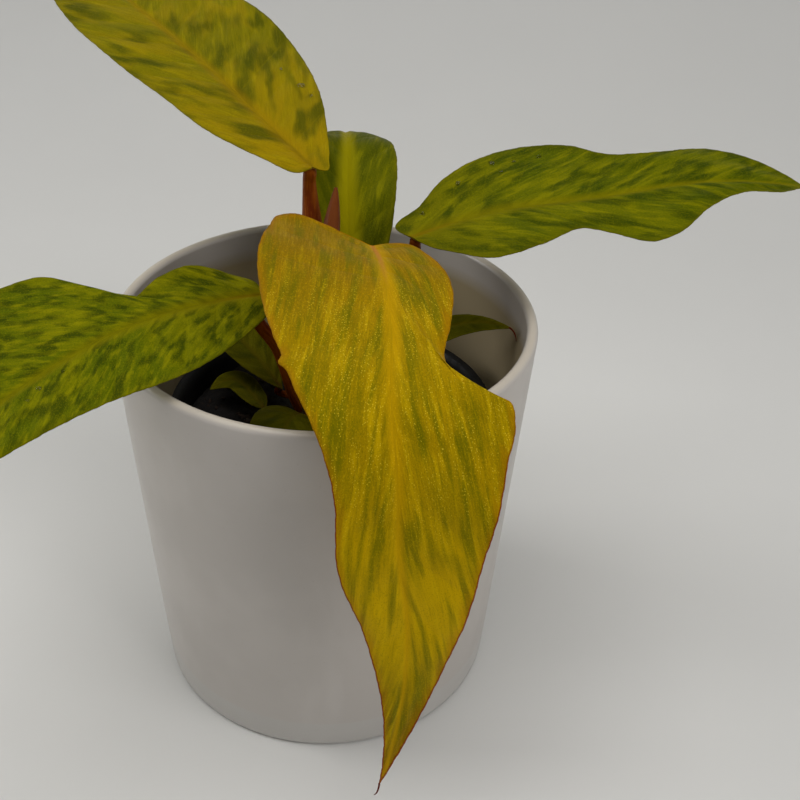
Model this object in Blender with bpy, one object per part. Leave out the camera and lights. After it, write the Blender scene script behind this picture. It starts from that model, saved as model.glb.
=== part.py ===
"""Potted philodendron: a young plant in a black nursery pot, standing in a ceramic cover pot.

The frame: +Z is up, and the origin is the centre of the cover pot's flat underside. The plant
leans towards -Y. Meshes are in metres; the numbers in this file are millimetres.
"""

import math

import bpy
import numpy as np

# ---------------------------------------------------------------- driving dimensions (mm)

POT_RIM_RADIUS = 65.0      # cover pot, outside of the lip
POT_HEIGHT = 134.0
POT_TAPER = 7.5            # how much narrower the cover pot is at its foot
POT_WALL = 3.5
POT_FLOOR = 4.5
INNER_RIM_DROP = 29.5      # from the lip down to the nursery pot's rim
RIM_GAP = 8.6              # free ring between the nursery pot's rim and the cover pot, when centred
NURSERY_TAPER = 12.0
NURSERY_WALL = 1.2
SOIL_BELOW_RIM = 7.5       # from the nursery pot's rim down to the potting mix
STEM_RADIUS = 5.5
LEAF_THICKNESS = 0.8
CLEARANCE = 0.3            # between any two solids that touch in the real plant

# ---------------------------------------------------------------- sizes that follow from them

MM = 0.001
DRAWN_RIM_RADIUS = 65.0    # the rim radius and soil level for which the plant's points are listed
DRAWN_SOIL_TOP = 97.0
DRAWN_FREE_HEIGHT = 37.0   # lip above soil, in the same drawing
DRAWN_CENTRE = (2.15, -6.88)   # the nursery pot's axis, in the same drawing

POT_FOOT_RADIUS = POT_RIM_RADIUS - POT_TAPER
NURSERY_RIM_TOP = POT_HEIGHT - INNER_RIM_DROP
NURSERY_BOTTOM = POT_FLOOR + CLEARANCE
SOIL_TOP = NURSERY_RIM_TOP - SOIL_BELOW_RIM
REACH = POT_RIM_RADIUS / DRAWN_RIM_RADIUS
LIFT = (POT_HEIGHT - SOIL_TOP) / DRAWN_FREE_HEIGHT


def outer_radius(z):
    """Outside of the cover pot's wall at height z."""
    return POT_FOOT_RADIUS + POT_TAPER * z / POT_HEIGHT


NURSERY_RIM_RADIUS = outer_radius(NURSERY_RIM_TOP) - POT_WALL - RIM_GAP
NURSERY_FOOT_RADIUS = NURSERY_RIM_RADIUS - NURSERY_TAPER
NURSERY_CENTRE = (0.25 * RIM_GAP, -0.8 * RIM_GAP)
NURSERY_RIM_LIP = 1.6      # how far the rolled rim stands out from the wall
NURSERY_RIM_DEPTH = 5.0
NURSERY_FOOT_RISE = 2.0    # the floor's height above the ring it stands on
NURSERY_INSIDE_FLOOR = NURSERY_BOTTOM + NURSERY_FOOT_RISE + NURSERY_WALL
POT_SEGMENTS = 56
NURSERY_SEGMENTS = 44
DRAIN_HOLES = 8
DRAIN_RADIUS = 3.2

CROWN = (-4.0, -8.0)       # where the stem comes out of the potting mix
STEM_BURIED = 8.0
STEM_RISE = 25.0
ROOT_RADIUS = 1.7
ROOT_DEPTH = 0.72          # share of the potting mix's depth that the roots reach down

FULL_PETIOLE = 2.3         # a full-grown petiole's radius where it leaves the stem
KEEL = 1.3                 # how far the midrib stands out below the blade, at its base
BASE_STEP = 1.5            # the petiole ends this far past the blade's notch
KNEE = 3.0                 # straight end of a petiole, square to its blade
BLADE_GAP = 0.5            # between a petiole's flat end and the keel of its blade
VEIN_SWEEP = 1.5           # above 1, the veins run forward from the midrib to the margin

# Each leaf, for the drawn rim radius. "midrib" runs from the notch to the tip. "faces" are the
# directions that the upper side looks in, evenly spread from notch to tip. "left" and "right"
# are the outline of each half as (share of the length, distance out, height), seen with the
# upper side towards you and the tip away from you. "petiole" rises from the crown, with the
# radius at each of its points and at the blade; its last points follow from the blade.

LEAVES = {
    "front": {
        "midrib": [(14, -14, 164), (18, -32, 166), (21, -55, 161), (22, -72, 150), (24, -82, 134),
                   (25, -87, 115), (28, -90, 90), (27, -94, 61), (22, -98, 35)],
        "faces": [(0, 0.2, 1), (0, -0.5, 1), (0, -1, 0.6), (0, -1, 0.2), (0, -1, 0.1)],
        "left": [(0.01, 8, 1), (0.07, 14, 0), (0.15, 17, -1), (0.22, 15, -2), (0.27, 13, -2),
                 (0.30, 15, 0), (0.33, 22, 0), (0.345, 29, 0), (0.38, 30, 0), (0.44, 27, 0),
                 (0.50, 25, 0), (0.62, 19.5, 0), (0.76, 10.5, 0), (0.90, 3.5, 0)],
        "right": [(-0.04, 6, 2), (-0.08, 12, 4), (-0.10, 19, 6), (-0.09, 24, 6), (-0.04, 28, 5),
                  (0.05, 33, 3), (0.16, 33, -1), (0.25, 29, -2), (0.30, 26, -2), (0.37, 20, -1),
                  (0.48, 16, 0), (0.58, 16, 0), (0.69, 12, 0), (0.87, 4, 0)],
        "rows": 24,
        "petiole": [(-4, -8, 112), (0, -13, 121), (9, -14.5, 142)],
        "radii": [2.6, 2.6, 2.3, 1.9],
    },
    "upper_left": {
        "midrib": [(-5, 12, 176), (-22, 31, 183), (-44, 57, 191), (-68, 85, 198), (-94, 117, 203),
                   (-117, 146, 201)],
        "faces": [(0.2, -0.5, 1), (0.2, -0.5, 1), (0.1, -0.4, 1)],
        "left": [(0, 4, 0), (0.06, 10, 0), (0.15, 16, 0), (0.30, 20, 0), (0.45, 23, 0),
                 (0.60, 23, 0), (0.75, 19, 0), (0.88, 10, 0)],
        "right": [(-0.02, 3, 0), (0, 6, 0), (0.06, 13, 0), (0.14, 21, 0), (0.28, 29, 0),
                  (0.40, 32, 0), (0.50, 31, 0), (0.65, 27, 0), (0.80, 17, 0), (0.92, 7, 0)],
        "rows": 20,
        "petiole": [(-4, -8, 106), (-6, -2, 118), (-5.5, 4, 135), (-5, 9, 155)],
        "radii": [2.5, 2.5, 3.1, 3.3, 2.0],
    },
    "back": {
        "midrib": [(4, 12, 130), (5, 22, 147), (4, 34, 161), (3, 50, 169), (1, 70, 165),
                   (0, 90, 149), (0, 102, 126)],
        "faces": [(0, -1, 0.4), (0, -1, 0.8), (0, 0, 1), (0, 0.8, 1), (0, 1, 0.4)],
        "left": [(-0.02, 4, 0), (0.03, 7, 0), (0.12, 10, 0), (0.25, 12, 0), (0.40, 12, -2),
                 (0.55, 11, -3), (0.70, 9, -2), (0.85, 6, 0), (0.94, 3, 0)],
        "right": [(-0.02, 4, 0), (0.03, 8, 0), (0.12, 12, 0), (0.24, 15, 0), (0.38, 16, -2),
                  (0.52, 14, -3), (0.70, 11, -2), (0.85, 7, 0), (0.94, 3, 0)],
        "rows": 18,
        "petiole": [(-4, -8, 103), (-1, -1, 112)],
        "radii": [2.3, 2.3, 1.8],
    },
    "right": {
        "midrib": [(25, 5, 158), (47, 15, 162), (84, 25, 165), (122, 36, 167), (152, 43, 163)],
        "faces": [(0, -0.4, 1), (0, -0.4, 1), (0, -0.4, 1)],
        "left": [(-0.02, 5, 0), (0.06, 10, 0), (0.12, 16, 0), (0.22, 22, 0), (0.33, 25, 0),
                 (0.44, 23, 0), (0.53, 17, 0), (0.64, 15, 0), (0.78, 15, 0), (0.87, 11, 0),
                 (0.95, 5, 0)],
        "right": [(0.02, 5, 0), (0.08, 12, 0), (0.14, 17, 0), (0.20, 18, 0), (0.29, 16, 0),
                  (0.40, 12, 0), (0.46, 15, -1), (0.54, 20, -2), (0.62, 18, -2), (0.70, 12, 0),
                  (0.83, 5, 0), (0.93, 4, 0)],
        "rows": 22,
        "petiole": [(-4, -8, 105), (3.5, -7.5, 115), (12, -2, 136)],
        "radii": [2.4, 2.4, 2.1, 1.7],
    },
    "left": {
        "midrib": [(-18, -12, 146), (-34, -23, 148), (-52, -38, 148), (-70, -58, 145),
                   (-87, -78, 138), (-101, -98, 127), (-110, -115, 112)],
        "faces": [(0.1, -0.4, 1), (0.1, -0.4, 1), (0.1, -0.4, 1)],
        "left": [(0, 6, 0), (0.05, 12, 0), (0.10, 16, 0), (0.18, 20, 0), (0.30, 21, 0),
                 (0.42, 18, 0), (0.55, 15, 0), (0.68, 11, 0), (0.80, 7, 0), (0.92, 3, 0)],
        "right": [(0, 4, 0), (0.04, 9, 0), (0.11, 14, 1), (0.18, 13, 0), (0.24, 11, -3),
                  (0.29, 17, -1), (0.34, 27, 1), (0.42, 30, 1), (0.52, 28, 0), (0.65, 20, -1),
                  (0.80, 11, -2), (0.92, 5, -1)],
        "rows": 22,
        "petiole": [(-4, -8, 99), (-8, -9, 106.5), (-14, -8.5, 124.5)],
        "radii": [2.5, 2.5, 2.2, 1.9],
    },
    "inner_left": {
        "midrib": [(-14, -4, 107), (-25, 6, 115), (-37, 15, 121), (-50, 22, 124)],
        "faces": [(0.3, -0.5, 1), (0.2, -0.5, 1)],
        "left": [(0.10, 3, 0), (0.40, 7, 0), (0.70, 6, 0), (0.88, 3, 0)],
        "right": [(0.10, 3, 0), (0.40, 7, 0), (0.70, 6, 0), (0.88, 3, 0)],
        "rows": 12,
        "petiole": [(-4, -8, 101), (-8, -5, 104)],
        "radii": [1.3, 1.3, 1.1],
    },
    "low_left": {
        "midrib": [(-19, -10, 103), (-24, -3, 104.5), (-30, 2, 106), (-38, 0, 103)],
        "faces": [(0, -0.3, 1), (0, -0.3, 1)],
        "left": [(0.10, 2, 0), (0.40, 4, 0), (0.80, 3, 0)],
        "right": [(0.10, 2, 0), (0.40, 4, 0), (0.80, 3, 0)],
        "rows": 10,
        "petiole": [(-4, -8, 100), (-12, -10, 100.5)],
        "radii": [1.1, 1.1, 0.9],
    },
    "low_front": {
        "midrib": [(-7, -18, 108), (-9, -25, 111), (-11, -34, 110), (-12, -43, 105)],
        "faces": [(0, -0.3, 1), (0, -0.5, 1)],
        "left": [(0.05, 6, 0), (0.30, 11, 0), (0.60, 10, 0), (0.85, 5, 0)],
        "right": [(0.05, 6, 0), (0.30, 10, 0), (0.60, 10, 0), (0.85, 5, 0)],
        "rows": 12,
        "petiole": [(-4, -8, 100), (-6, -14, 103)],
        "radii": [1.3, 1.3, 1.1],
    },
    "inner_right": {
        "midrib": [(12, 5, 105), (25, 12, 116), (38, 14, 122), (50, 11, 126), (58, 6, 127)],
        "faces": [(0, -0.8, 1), (0, -0.8, 1)],
        "left": [(0.10, 2, 0), (0.40, 4, 0), (0.70, 3, 0), (0.90, 1, 0)],
        "right": [(0.10, 2, 0), (0.40, 5, 0), (0.70, 4, 0), (0.90, 2, 0)],
        "rows": 12,
        "petiole": [(-4, -8, 100.5), (4, -2, 101.5)],
        "radii": [1.2, 1.2, 0.8],
    },
}

NEW_LEAF = [(-4, -8, 122), (-4, -8, 127), (-3, -6, 136), (-1, -2, 148), (1, 3, 160), (2, 10, 170.5)]
NEW_LEAF_RADII = [3.4, 3.4, 3.2, 3.0, 2.7, 0.5]

# Across one half of a blade, from the midrib (0) to the margin (1).
BLADE_COLUMNS = [0.0, 0.07, 0.36, 0.70, 1.0]


# ---------------------------------------------------------------- curves

def through(knots, values, at):
    """A smooth curve through the values at the knots, read at other knots."""
    knots = np.asarray(knots, float)
    values = np.asarray(values, float)
    at = np.asarray(at, float)
    if len(knots) == 2:
        share = ((at - knots[0]) / (knots[1] - knots[0]))[..., None]
        return values[0] * (1 - share) + values[1] * share
    slopes = np.gradient(values, knots, axis=0, edge_order=2)
    low = np.clip(np.searchsorted(knots, at, side="right") - 1, 0, len(knots) - 2)
    step = (knots[low + 1] - knots[low])[..., None]
    u = ((at - knots[low]))[..., None] / step
    start = (1 + 2 * u) * (1 - u) ** 2 * values[low] + u * (1 - u) ** 2 * step * slopes[low]
    end = u ** 2 * (3 - 2 * u) * values[low + 1] - u ** 2 * (1 - u) * step * slopes[low + 1]
    return start + end


def distances(points):
    """Distance along a chain of points, from its first point."""
    steps = np.linalg.norm(np.diff(points, axis=0), axis=1)
    return np.concatenate([[0.0], np.cumsum(steps)])


def unit(vectors):
    return vectors / np.linalg.norm(vectors, axis=-1, keepdims=True)


def placed(points):
    """Drawn points of the plant, brought to the real pot's radius and soil level."""
    points = np.asarray(points, float)
    x = points[..., 0] * REACH
    y = points[..., 1] * REACH
    z = SOIL_TOP + (points[..., 2] - DRAWN_SOIL_TOP) * LIFT
    return np.stack([x, y, z], -1)


# ---------------------------------------------------------------- blades

def midrib_frames(leaf, count=300):
    """Points, directions and upper-side normals along a leaf's midrib, evenly spaced."""
    points = placed(leaf["midrib"])
    knots = distances(points)
    line = through(knots, points, np.linspace(0, knots[-1], count))
    along = distances(line)
    ahead = unit(np.gradient(line, along, axis=0))
    faces = np.asarray(leaf["faces"], float)
    looks = through(np.linspace(0, along[-1], len(faces)), faces, along)
    normals = unit(looks - (looks * ahead).sum(-1, keepdims=True) * ahead)
    return along, line, ahead, normals


def frames_at(frames, s):
    """The midrib's point, direction and normal at distances s; straight before its start."""
    along, line, ahead, normals = frames
    inside = np.clip(s, 0, along[-1])
    point = np.stack([np.interp(inside, along, line[:, k]) for k in range(3)], -1)
    direction = unit(np.stack([np.interp(inside, along, ahead[:, k]) for k in range(3)], -1))
    normal = np.stack([np.interp(inside, along, normals[:, k]) for k in range(3)], -1)
    normal = unit(normal - (normal * direction).sum(-1, keepdims=True) * direction)
    return point + (s - inside)[..., None] * direction, direction, normal


def half_blade(frames, outline, rows, columns, side):
    """Upper surface and normals of one half; side is +1 for left and -1 for right."""
    length = frames[0][-1]
    corners = np.array([(0, 0, 0)] + list(outline) + [(1, 0, 0)], float)
    corners = corners * (length, REACH, REACH)
    knots = distances(corners[:, :2])
    share = np.linspace(0, 1, rows + 1)
    margin = through(knots / knots[-1], corners, share)
    foot = length * share ** VEIN_SWEEP
    across = np.asarray(columns)[None, :]
    s = foot[:, None] * (1 - across) + margin[:, :1] * across
    out = np.maximum(margin[:, 1:2], 0) * across
    rise = margin[:, 2:3] * across ** 2
    point, direction, normal = frames_at(frames, s)
    sideways = np.cross(normal, direction) * side
    return point + out[..., None] * sideways + rise[..., None] * normal, normal


def leaf_size(leaf):
    """1 for a full-grown leaf, less for a young one with a thin petiole."""
    return min(1.0, leaf["radii"][0] / FULL_PETIOLE)


def blade_surface(leaf):
    """The blade's upper side and normals as one grid, left margin to right margin."""
    frames = midrib_frames(leaf)
    left, left_normal = half_blade(frames, leaf["left"], leaf["rows"], BLADE_COLUMNS, 1)
    right, right_normal = half_blade(frames, leaf["right"], leaf["rows"], BLADE_COLUMNS, -1)
    surface = np.concatenate([left[:, ::-1], right[:, 1:]], axis=1)
    normals = np.concatenate([left_normal[:, ::-1], right_normal[:, 1:]], axis=1)
    return surface, normals


def blade_mesh(leaf):
    """A thin closed blade with a keel along the underside of its midrib."""
    surface, normals = blade_surface(leaf)
    rows, columns = surface.shape[:2]
    middle = columns // 2
    depth = np.full((rows, columns), LEAF_THICKNESS)
    depth[:, middle] += KEEL * leaf_size(leaf) * np.linspace(1, 0.1, rows)
    under = surface - normals * depth[..., None]

    def face_ids(offset):
        """Vertex numbers of one side: single points at the notch and the tip."""
        ids = np.empty((rows, columns), int)
        ids[0] = offset
        inner = (rows - 2) * columns
        ids[1:-1] = offset + 1 + np.arange(inner).reshape(rows - 2, columns)
        ids[-1] = offset + 1 + inner
        return ids

    count = (rows - 2) * columns + 2
    top_ids = face_ids(0)
    low_ids = face_ids(count)
    vertices = []
    for side in (surface, under):
        vertices.append(side[0, middle])
        vertices.extend(side[1:-1].reshape(-1, 3))
        vertices.append(side[-1, middle])
    faces = []
    for r in range(rows - 1):
        for c in range(columns - 1):
            ring = [top_ids[r, c], top_ids[r, c + 1], top_ids[r + 1, c + 1], top_ids[r + 1, c]]
            low = [low_ids[r, c], low_ids[r + 1, c], low_ids[r + 1, c + 1], low_ids[r, c + 1]]
            faces.append(ring)
            faces.append(low)
        for c, turn in ((0, 1), (columns - 1, -1)):
            edge = [top_ids[r, c], top_ids[r + 1, c], low_ids[r + 1, c], low_ids[r, c]]
            faces.append(edge[::turn])
    return vertices, faces


# ---------------------------------------------------------------- tubes

def tube_mesh(path, radii, sides, steps):
    """A closed tube through a path, its radius following the radii along it."""
    path = np.asarray(path, float)
    knots = distances(path)
    at = np.linspace(0, knots[-1], steps + 1)
    line = through(knots, path, at)
    sizes = through(knots, np.asarray(radii, float)[:, None], at)[:, 0]
    ahead = unit(np.gradient(line, at, axis=0))
    across = unit(np.cross(ahead[0], (0.0, 1.0, 0.1)))
    rings = []
    for point, direction, size in zip(line, ahead, sizes):
        across = unit(across - np.dot(across, direction) * direction)
        upward = np.cross(direction, across)
        for k in range(sides):
            turn = 2 * math.pi * k / sides
            rings.append(point + size * (math.cos(turn) * across + math.sin(turn) * upward))
    faces = []
    for r in range(steps):
        for k in range(sides):
            a = r * sides + k
            b = r * sides + (k + 1) % sides
            faces.append([a, b, b + sides, a + sides])
    faces.append(list(range(sides))[::-1])
    faces.append([steps * sides + k for k in range(sides)])
    return rings, faces


def petiole_path(leaf):
    """From inside the stem to just below the blade, ending square to it."""
    frames = midrib_frames(leaf)
    point, direction, normal = frames_at(frames, np.array([BASE_STEP]))
    size = leaf_size(leaf)
    end = point[0] - normal[0] * (LEAF_THICKNESS + KEEL * size + BLADE_GAP)
    knee = end - normal[0] * KNEE * size
    return np.concatenate([placed(leaf["petiole"]), [knee, end]])


def stem_path(below, above):
    x, y = CROWN
    x, y, _ = placed([x, y, 0])
    return [(x, y, SOIL_TOP - below), (x, y, SOIL_TOP + above * LIFT)]


# ---------------------------------------------------------------- turned pieces

def turned_mesh(profile, centre, segments):
    """A solid of revolution. The profile runs round the section, axis points having radius 0."""
    vertices = []
    rings = []
    for radius, z in profile:
        if radius < 1e-6:
            rings.append([len(vertices)] * segments)
            vertices.append((centre[0], centre[1], z))
            continue
        rings.append([len(vertices) + k for k in range(segments)])
        for k in range(segments):
            turn = 2 * math.pi * k / segments
            x = centre[0] + radius * math.cos(turn)
            y = centre[1] + radius * math.sin(turn)
            vertices.append((x, y, z))
    faces = []
    for ring, following in zip(rings, rings[1:] + rings[:1]):
        for k in range(segments):
            n = (k + 1) % segments
            faces.append([ring[k], ring[n], following[n], following[k]])
    return vertices, faces


def arc(centre, radius, start, stop, steps):
    """Points of an arc in a profile; angles in degrees, anticlockwise from +radius."""
    turns = np.radians(np.linspace(start, stop, steps + 1))
    return [(centre[0] + radius * math.cos(t), centre[1] + radius * math.sin(t)) for t in turns]


def cover_pot_profile():
    """Up the outside, over the full round lip, down the inside and across the floor."""
    lip = POT_WALL / 2
    foot_round = 2.5
    floor_round = 6.0
    inner_foot = outer_radius(POT_FLOOR) - POT_WALL
    outside = arc((POT_FOOT_RADIUS - foot_round, foot_round), foot_round, -90, 0, 3)
    over = arc((POT_RIM_RADIUS - lip, POT_HEIGHT - lip), lip, 0, 180, 6)
    inside = arc((inner_foot - floor_round, POT_FLOOR + floor_round), floor_round, 0, -90, 3)
    groove = [(POT_FOOT_RADIUS - 13, 0), (POT_FOOT_RADIUS - 12, 1.0),
              (POT_FOOT_RADIUS - 8, 1.0), (POT_FOOT_RADIUS - 7, 0)]
    return [(0, 0)] + groove + outside + over + inside + [(0, POT_FLOOR)]


def nursery_profile():
    """The thin pot with its rolled rim and a raised ring under its floor."""
    top = NURSERY_RIM_TOP
    rim = NURSERY_RIM_RADIUS
    wall = NURSERY_WALL
    body = rim - NURSERY_RIM_LIP
    foot = NURSERY_FOOT_RADIUS
    low = NURSERY_BOTTOM
    floor = low + NURSERY_FOOT_RISE
    return [
        (0, floor), (foot - 8, floor), (foot - 6, low), (foot - 1, low), (foot, low + 1.0),
        (body, top - NURSERY_RIM_DEPTH), (rim, top - NURSERY_RIM_DEPTH + 0.6), (rim, top - 0.6),
        (rim - 0.6, top), (body - wall, top), (body - wall - 0.3, top - NURSERY_RIM_DEPTH),
        (foot - wall, NURSERY_INSIDE_FLOOR), (0, NURSERY_INSIDE_FLOOR),
    ]


def nursery_inner_radius(z):
    """Inside of the nursery pot's wall at height z."""
    high = NURSERY_RIM_TOP - NURSERY_RIM_DEPTH
    foot = NURSERY_FOOT_RADIUS - NURSERY_WALL
    body = NURSERY_RIM_RADIUS - NURSERY_RIM_LIP - NURSERY_WALL - 0.3
    return foot + (body - foot) * (z - NURSERY_INSIDE_FLOOR) / (high - NURSERY_INSIDE_FLOOR)


def soil_wave(x, y):
    """Hills and hollows of the potting mix, from -1 to 1. They stay under the same drawn leaves."""
    return math.sin(0.31 * x + 0.17 * y) * math.cos(0.23 * y - 0.12 * x + 1.0)


def soil_mesh():
    """Potting mix: follows the nursery pot's inside, with an uneven top."""
    segments = NURSERY_SEGMENTS
    low = NURSERY_INSIDE_FLOOR + CLEARANCE
    side_gap = CLEARANCE * 1.3
    rings = [(nursery_inner_radius(low) - side_gap, low, 0.0)]
    edge = nursery_inner_radius(SOIL_TOP) - side_gap
    for share in (1.0, 0.86, 0.66, 0.42, 0.2):
        rings.append((edge * share, SOIL_TOP - 1.2 * share ** 4, 0.8 * (1 - share ** 6)))
    vertices = [(NURSERY_CENTRE[0], NURSERY_CENTRE[1], low)]
    for radius, z, bump in rings:
        for k in range(segments):
            turn = 2 * math.pi * k / segments
            x = radius * math.cos(turn)
            y = radius * math.sin(turn)
            drawn_x = (NURSERY_CENTRE[0] + x) / REACH - DRAWN_CENTRE[0]
            drawn_y = (NURSERY_CENTRE[1] + y) / REACH - DRAWN_CENTRE[1]
            height = z + bump * soil_wave(drawn_x, drawn_y)
            vertices.append((NURSERY_CENTRE[0] + x, NURSERY_CENTRE[1] + y, height))
    vertices.append((NURSERY_CENTRE[0], NURSERY_CENTRE[1], SOIL_TOP))
    last = len(vertices) - 1
    faces = []
    for k in range(segments):
        n = (k + 1) % segments
        faces.append([0, 1 + n, 1 + k])
        for r in range(len(rings) - 1):
            a = 1 + r * segments
            b = a + segments
            faces.append([a + k, a + n, b + n, b + k])
        top = 1 + (len(rings) - 1) * segments
        faces.append([top + k, top + n, last])
    return vertices, faces


# ---------------------------------------------------------------- objects

def clear_scene():
    for old in list(bpy.data.objects):
        bpy.data.objects.remove(old, do_unlink=True)


def material(name, colour, roughness, metallic=0.0):
    made = bpy.data.materials.new(name)
    made.use_nodes = True
    shader = made.node_tree.nodes["Principled BSDF"]
    shader.inputs["Base Color"].default_value = (*colour, 1.0)
    shader.inputs["Roughness"].default_value = roughness
    shader.inputs["Metallic"].default_value = metallic
    return made


def add_object(name, mesh_parts, look, smooth_angle=40):
    vertices, faces = mesh_parts
    mesh = bpy.data.meshes.new(name)
    mesh.from_pydata([tuple(float(c) * MM for c in v) for v in vertices], [], clean(faces))
    mesh.update()
    mesh.shade_smooth()
    mesh.set_sharp_from_angle(angle=math.radians(smooth_angle))
    made = bpy.data.objects.new(name, mesh)
    bpy.context.scene.collection.objects.link(made)
    if look is not None:
        mesh.materials.append(look)
    return made


def clean(faces):
    """Faces without repeated corners; those left with fewer than three are dropped."""
    kept = []
    for face in faces:
        corners = [int(v) for k, v in enumerate(face) if v != face[k - 1]]
        if len(corners) >= 3:
            kept.append(corners)
    return kept


def as_cutter(item):
    item.hide_render = True
    item.display_type = "WIRE"
    return item


def boolean(target, other, operation):
    step = target.modifiers.new(operation.lower() + "_" + other.name, "BOOLEAN")
    step.object = other
    step.operation = operation
    step.solver = "EXACT"


# ---------------------------------------------------------------- the plant and its pots

def build_cover_pot():
    glaze = material("white_glaze", (0.78, 0.77, 0.75), 0.35)
    add_object("cover_pot", turned_mesh(cover_pot_profile(), (0, 0), POT_SEGMENTS), glaze)


def build_nursery_pot():
    plastic = material("black_plastic", (0.012, 0.012, 0.013), 0.5)
    shell = turned_mesh(nursery_profile(), NURSERY_CENTRE, NURSERY_SEGMENTS)
    pot = add_object("nursery_pot", shell, plastic)
    ring = NURSERY_FOOT_RADIUS * 0.62
    for k in range(DRAIN_HOLES):
        turn = 2 * math.pi * k / DRAIN_HOLES
        x = NURSERY_CENTRE[0] + ring * math.cos(turn)
        y = NURSERY_CENTRE[1] + ring * math.sin(turn)
        path = [(x, y, NURSERY_BOTTOM - 1), (x, y, NURSERY_BOTTOM + 6)]
        drill = add_object("drill_%d" % k, tube_mesh(path, [DRAIN_RADIUS] * 2, 10, 1), None)
        boolean(pot, as_cutter(drill), "DIFFERENCE")


def root_paths():
    """One tap root and a whorl of side roots, spreading as they go down."""
    x, y, _ = placed([CROWN[0], CROWN[1], 0])
    top = SOIL_TOP - STEM_BURIED - CLEARANCE
    depth = (top - NURSERY_BOTTOM) * ROOT_DEPTH
    spread = nursery_inner_radius(top - depth) * 0.72
    paths = [[(x, y, top - 2), (x + 2, y + 1, top - depth * 0.5), (x + 4, y - 2, top - depth)]]
    whorl = 6
    for k in range(whorl):
        turn = 2 * math.pi * (k + 0.5) / whorl
        out = spread * (0.85 + 0.15 * math.cos(3.0 * k))
        fall = depth * (0.75 + 0.2 * math.sin(2.0 * k))
        ux = math.cos(turn)
        uy = math.sin(turn)
        paths.append([
            (x + 1.5 * ux, y + 1.5 * uy, top - 4 - k),
            (x + out * 0.5 * ux, y + out * 0.5 * uy, top - fall * 0.3 - k),
            (x + out * 0.8 * ux, y + out * 0.8 * uy, top - fall * 0.7),
            (x + out * 0.8 * ux, y + out * 0.8 * uy, top - fall),
        ])
    return paths


def root_solid(name, extra, look):
    """The root ball as one solid, or its clearance when extra is above zero."""
    x, y, _ = placed([CROWN[0], CROWN[1], 0])
    top = SOIL_TOP - STEM_BURIED - CLEARANCE + extra
    stub = [(x, y, top), (x, y, top - 14 - 2 * extra)]
    base = STEM_RADIUS * 0.8 + extra
    item = add_object(name, tube_mesh(stub, [base, base * 0.7], 10, 1), look)
    for k, path in enumerate(root_paths()):
        tip = path[-1]
        path[-1] = (tip[0], tip[1], tip[2] - extra)
        radii = [ROOT_RADIUS + extra] * (len(path) - 1) + [ROOT_RADIUS * 0.5 + extra]
        branch = add_object("%s_branch_%d" % (name, k), tube_mesh(path, radii, 6, 6), None)
        boolean(item, as_cutter(branch), "UNION")
    return item


def build_below_ground():
    brown = material("roots", (0.45, 0.36, 0.24), 0.8)
    soil = add_object("potting_mix", soil_mesh(), material("potting_mix", (0.02, 0.016, 0.013), 0.95))
    root_solid("roots", 0.0, brown)
    boolean(soil, as_cutter(root_solid("roots_clearance", CLEARANCE, None)), "DIFFERENCE")
    boolean(soil, stem_clearance("stem_clearance_soil", STEM_BURIED + CLEARANCE), "DIFFERENCE")


def stem_radii(extra):
    return [STEM_RADIUS + extra, STEM_RADIUS * 0.82 + extra]


def stem_clearance(name, below):
    cutter = tube_mesh(stem_path(below, STEM_RISE + CLEARANCE), stem_radii(CLEARANCE), 14, 1)
    return as_cutter(add_object(name, cutter, None))


def build_stem():
    look = material("stem", (0.20, 0.13, 0.05), 0.6)
    path = stem_path(STEM_BURIED, STEM_RISE - CLEARANCE / LIFT)
    add_object("stem", tube_mesh(path, stem_radii(0.0), 14, 1), look)


def build_new_leaf():
    look = material("new_leaf", (0.42, 0.20, 0.10), 0.45)
    add_object("new_leaf", tube_mesh(placed(NEW_LEAF), NEW_LEAF_RADII, 10, 10), look)


def build_leaves():
    golden = material("golden_blade", (0.42, 0.33, 0.02), 0.4)
    olive = material("olive_blade", (0.24, 0.25, 0.02), 0.4)
    shaded = material("inner_blade", (0.16, 0.15, 0.03), 0.45)
    russet = material("petiole", (0.28, 0.10, 0.03), 0.45)
    cutter = stem_clearance("stem_clearance", 3.0)
    for name, leaf in LEAVES.items():
        inner = leaf["radii"][0] < 2
        look = golden if name == "front" else shaded if inner else olive
        add_object("leaf_" + name, blade_mesh(leaf), look, 80)
        path = petiole_path(leaf)
        radii = leaf["radii"][:-1] + [leaf["radii"][-1]] * 2
        sides = 6 if inner else 8
        steps = 6 if inner else 12
        petiole = add_object("petiole_" + name, tube_mesh(path, radii, sides, steps), russet)
        boolean(petiole, cutter, "DIFFERENCE")


def main():
    clear_scene()
    build_cover_pot()
    build_nursery_pot()
    build_below_ground()
    build_stem()
    build_new_leaf()
    build_leaves()


main()
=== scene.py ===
"""Looks for the potted philodendron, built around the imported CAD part.

The row frame: +Z is up, the origin is the centre of the cover pot's flat underside, and the plant
leans towards -Y. The numbers in this file are millimetres, apart from the lights' and materials'.
"""

import random
from math import cos, exp, hypot, pi, radians, sin, sqrt

import bpy
import numpy as np
from mathutils import Matrix


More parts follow.
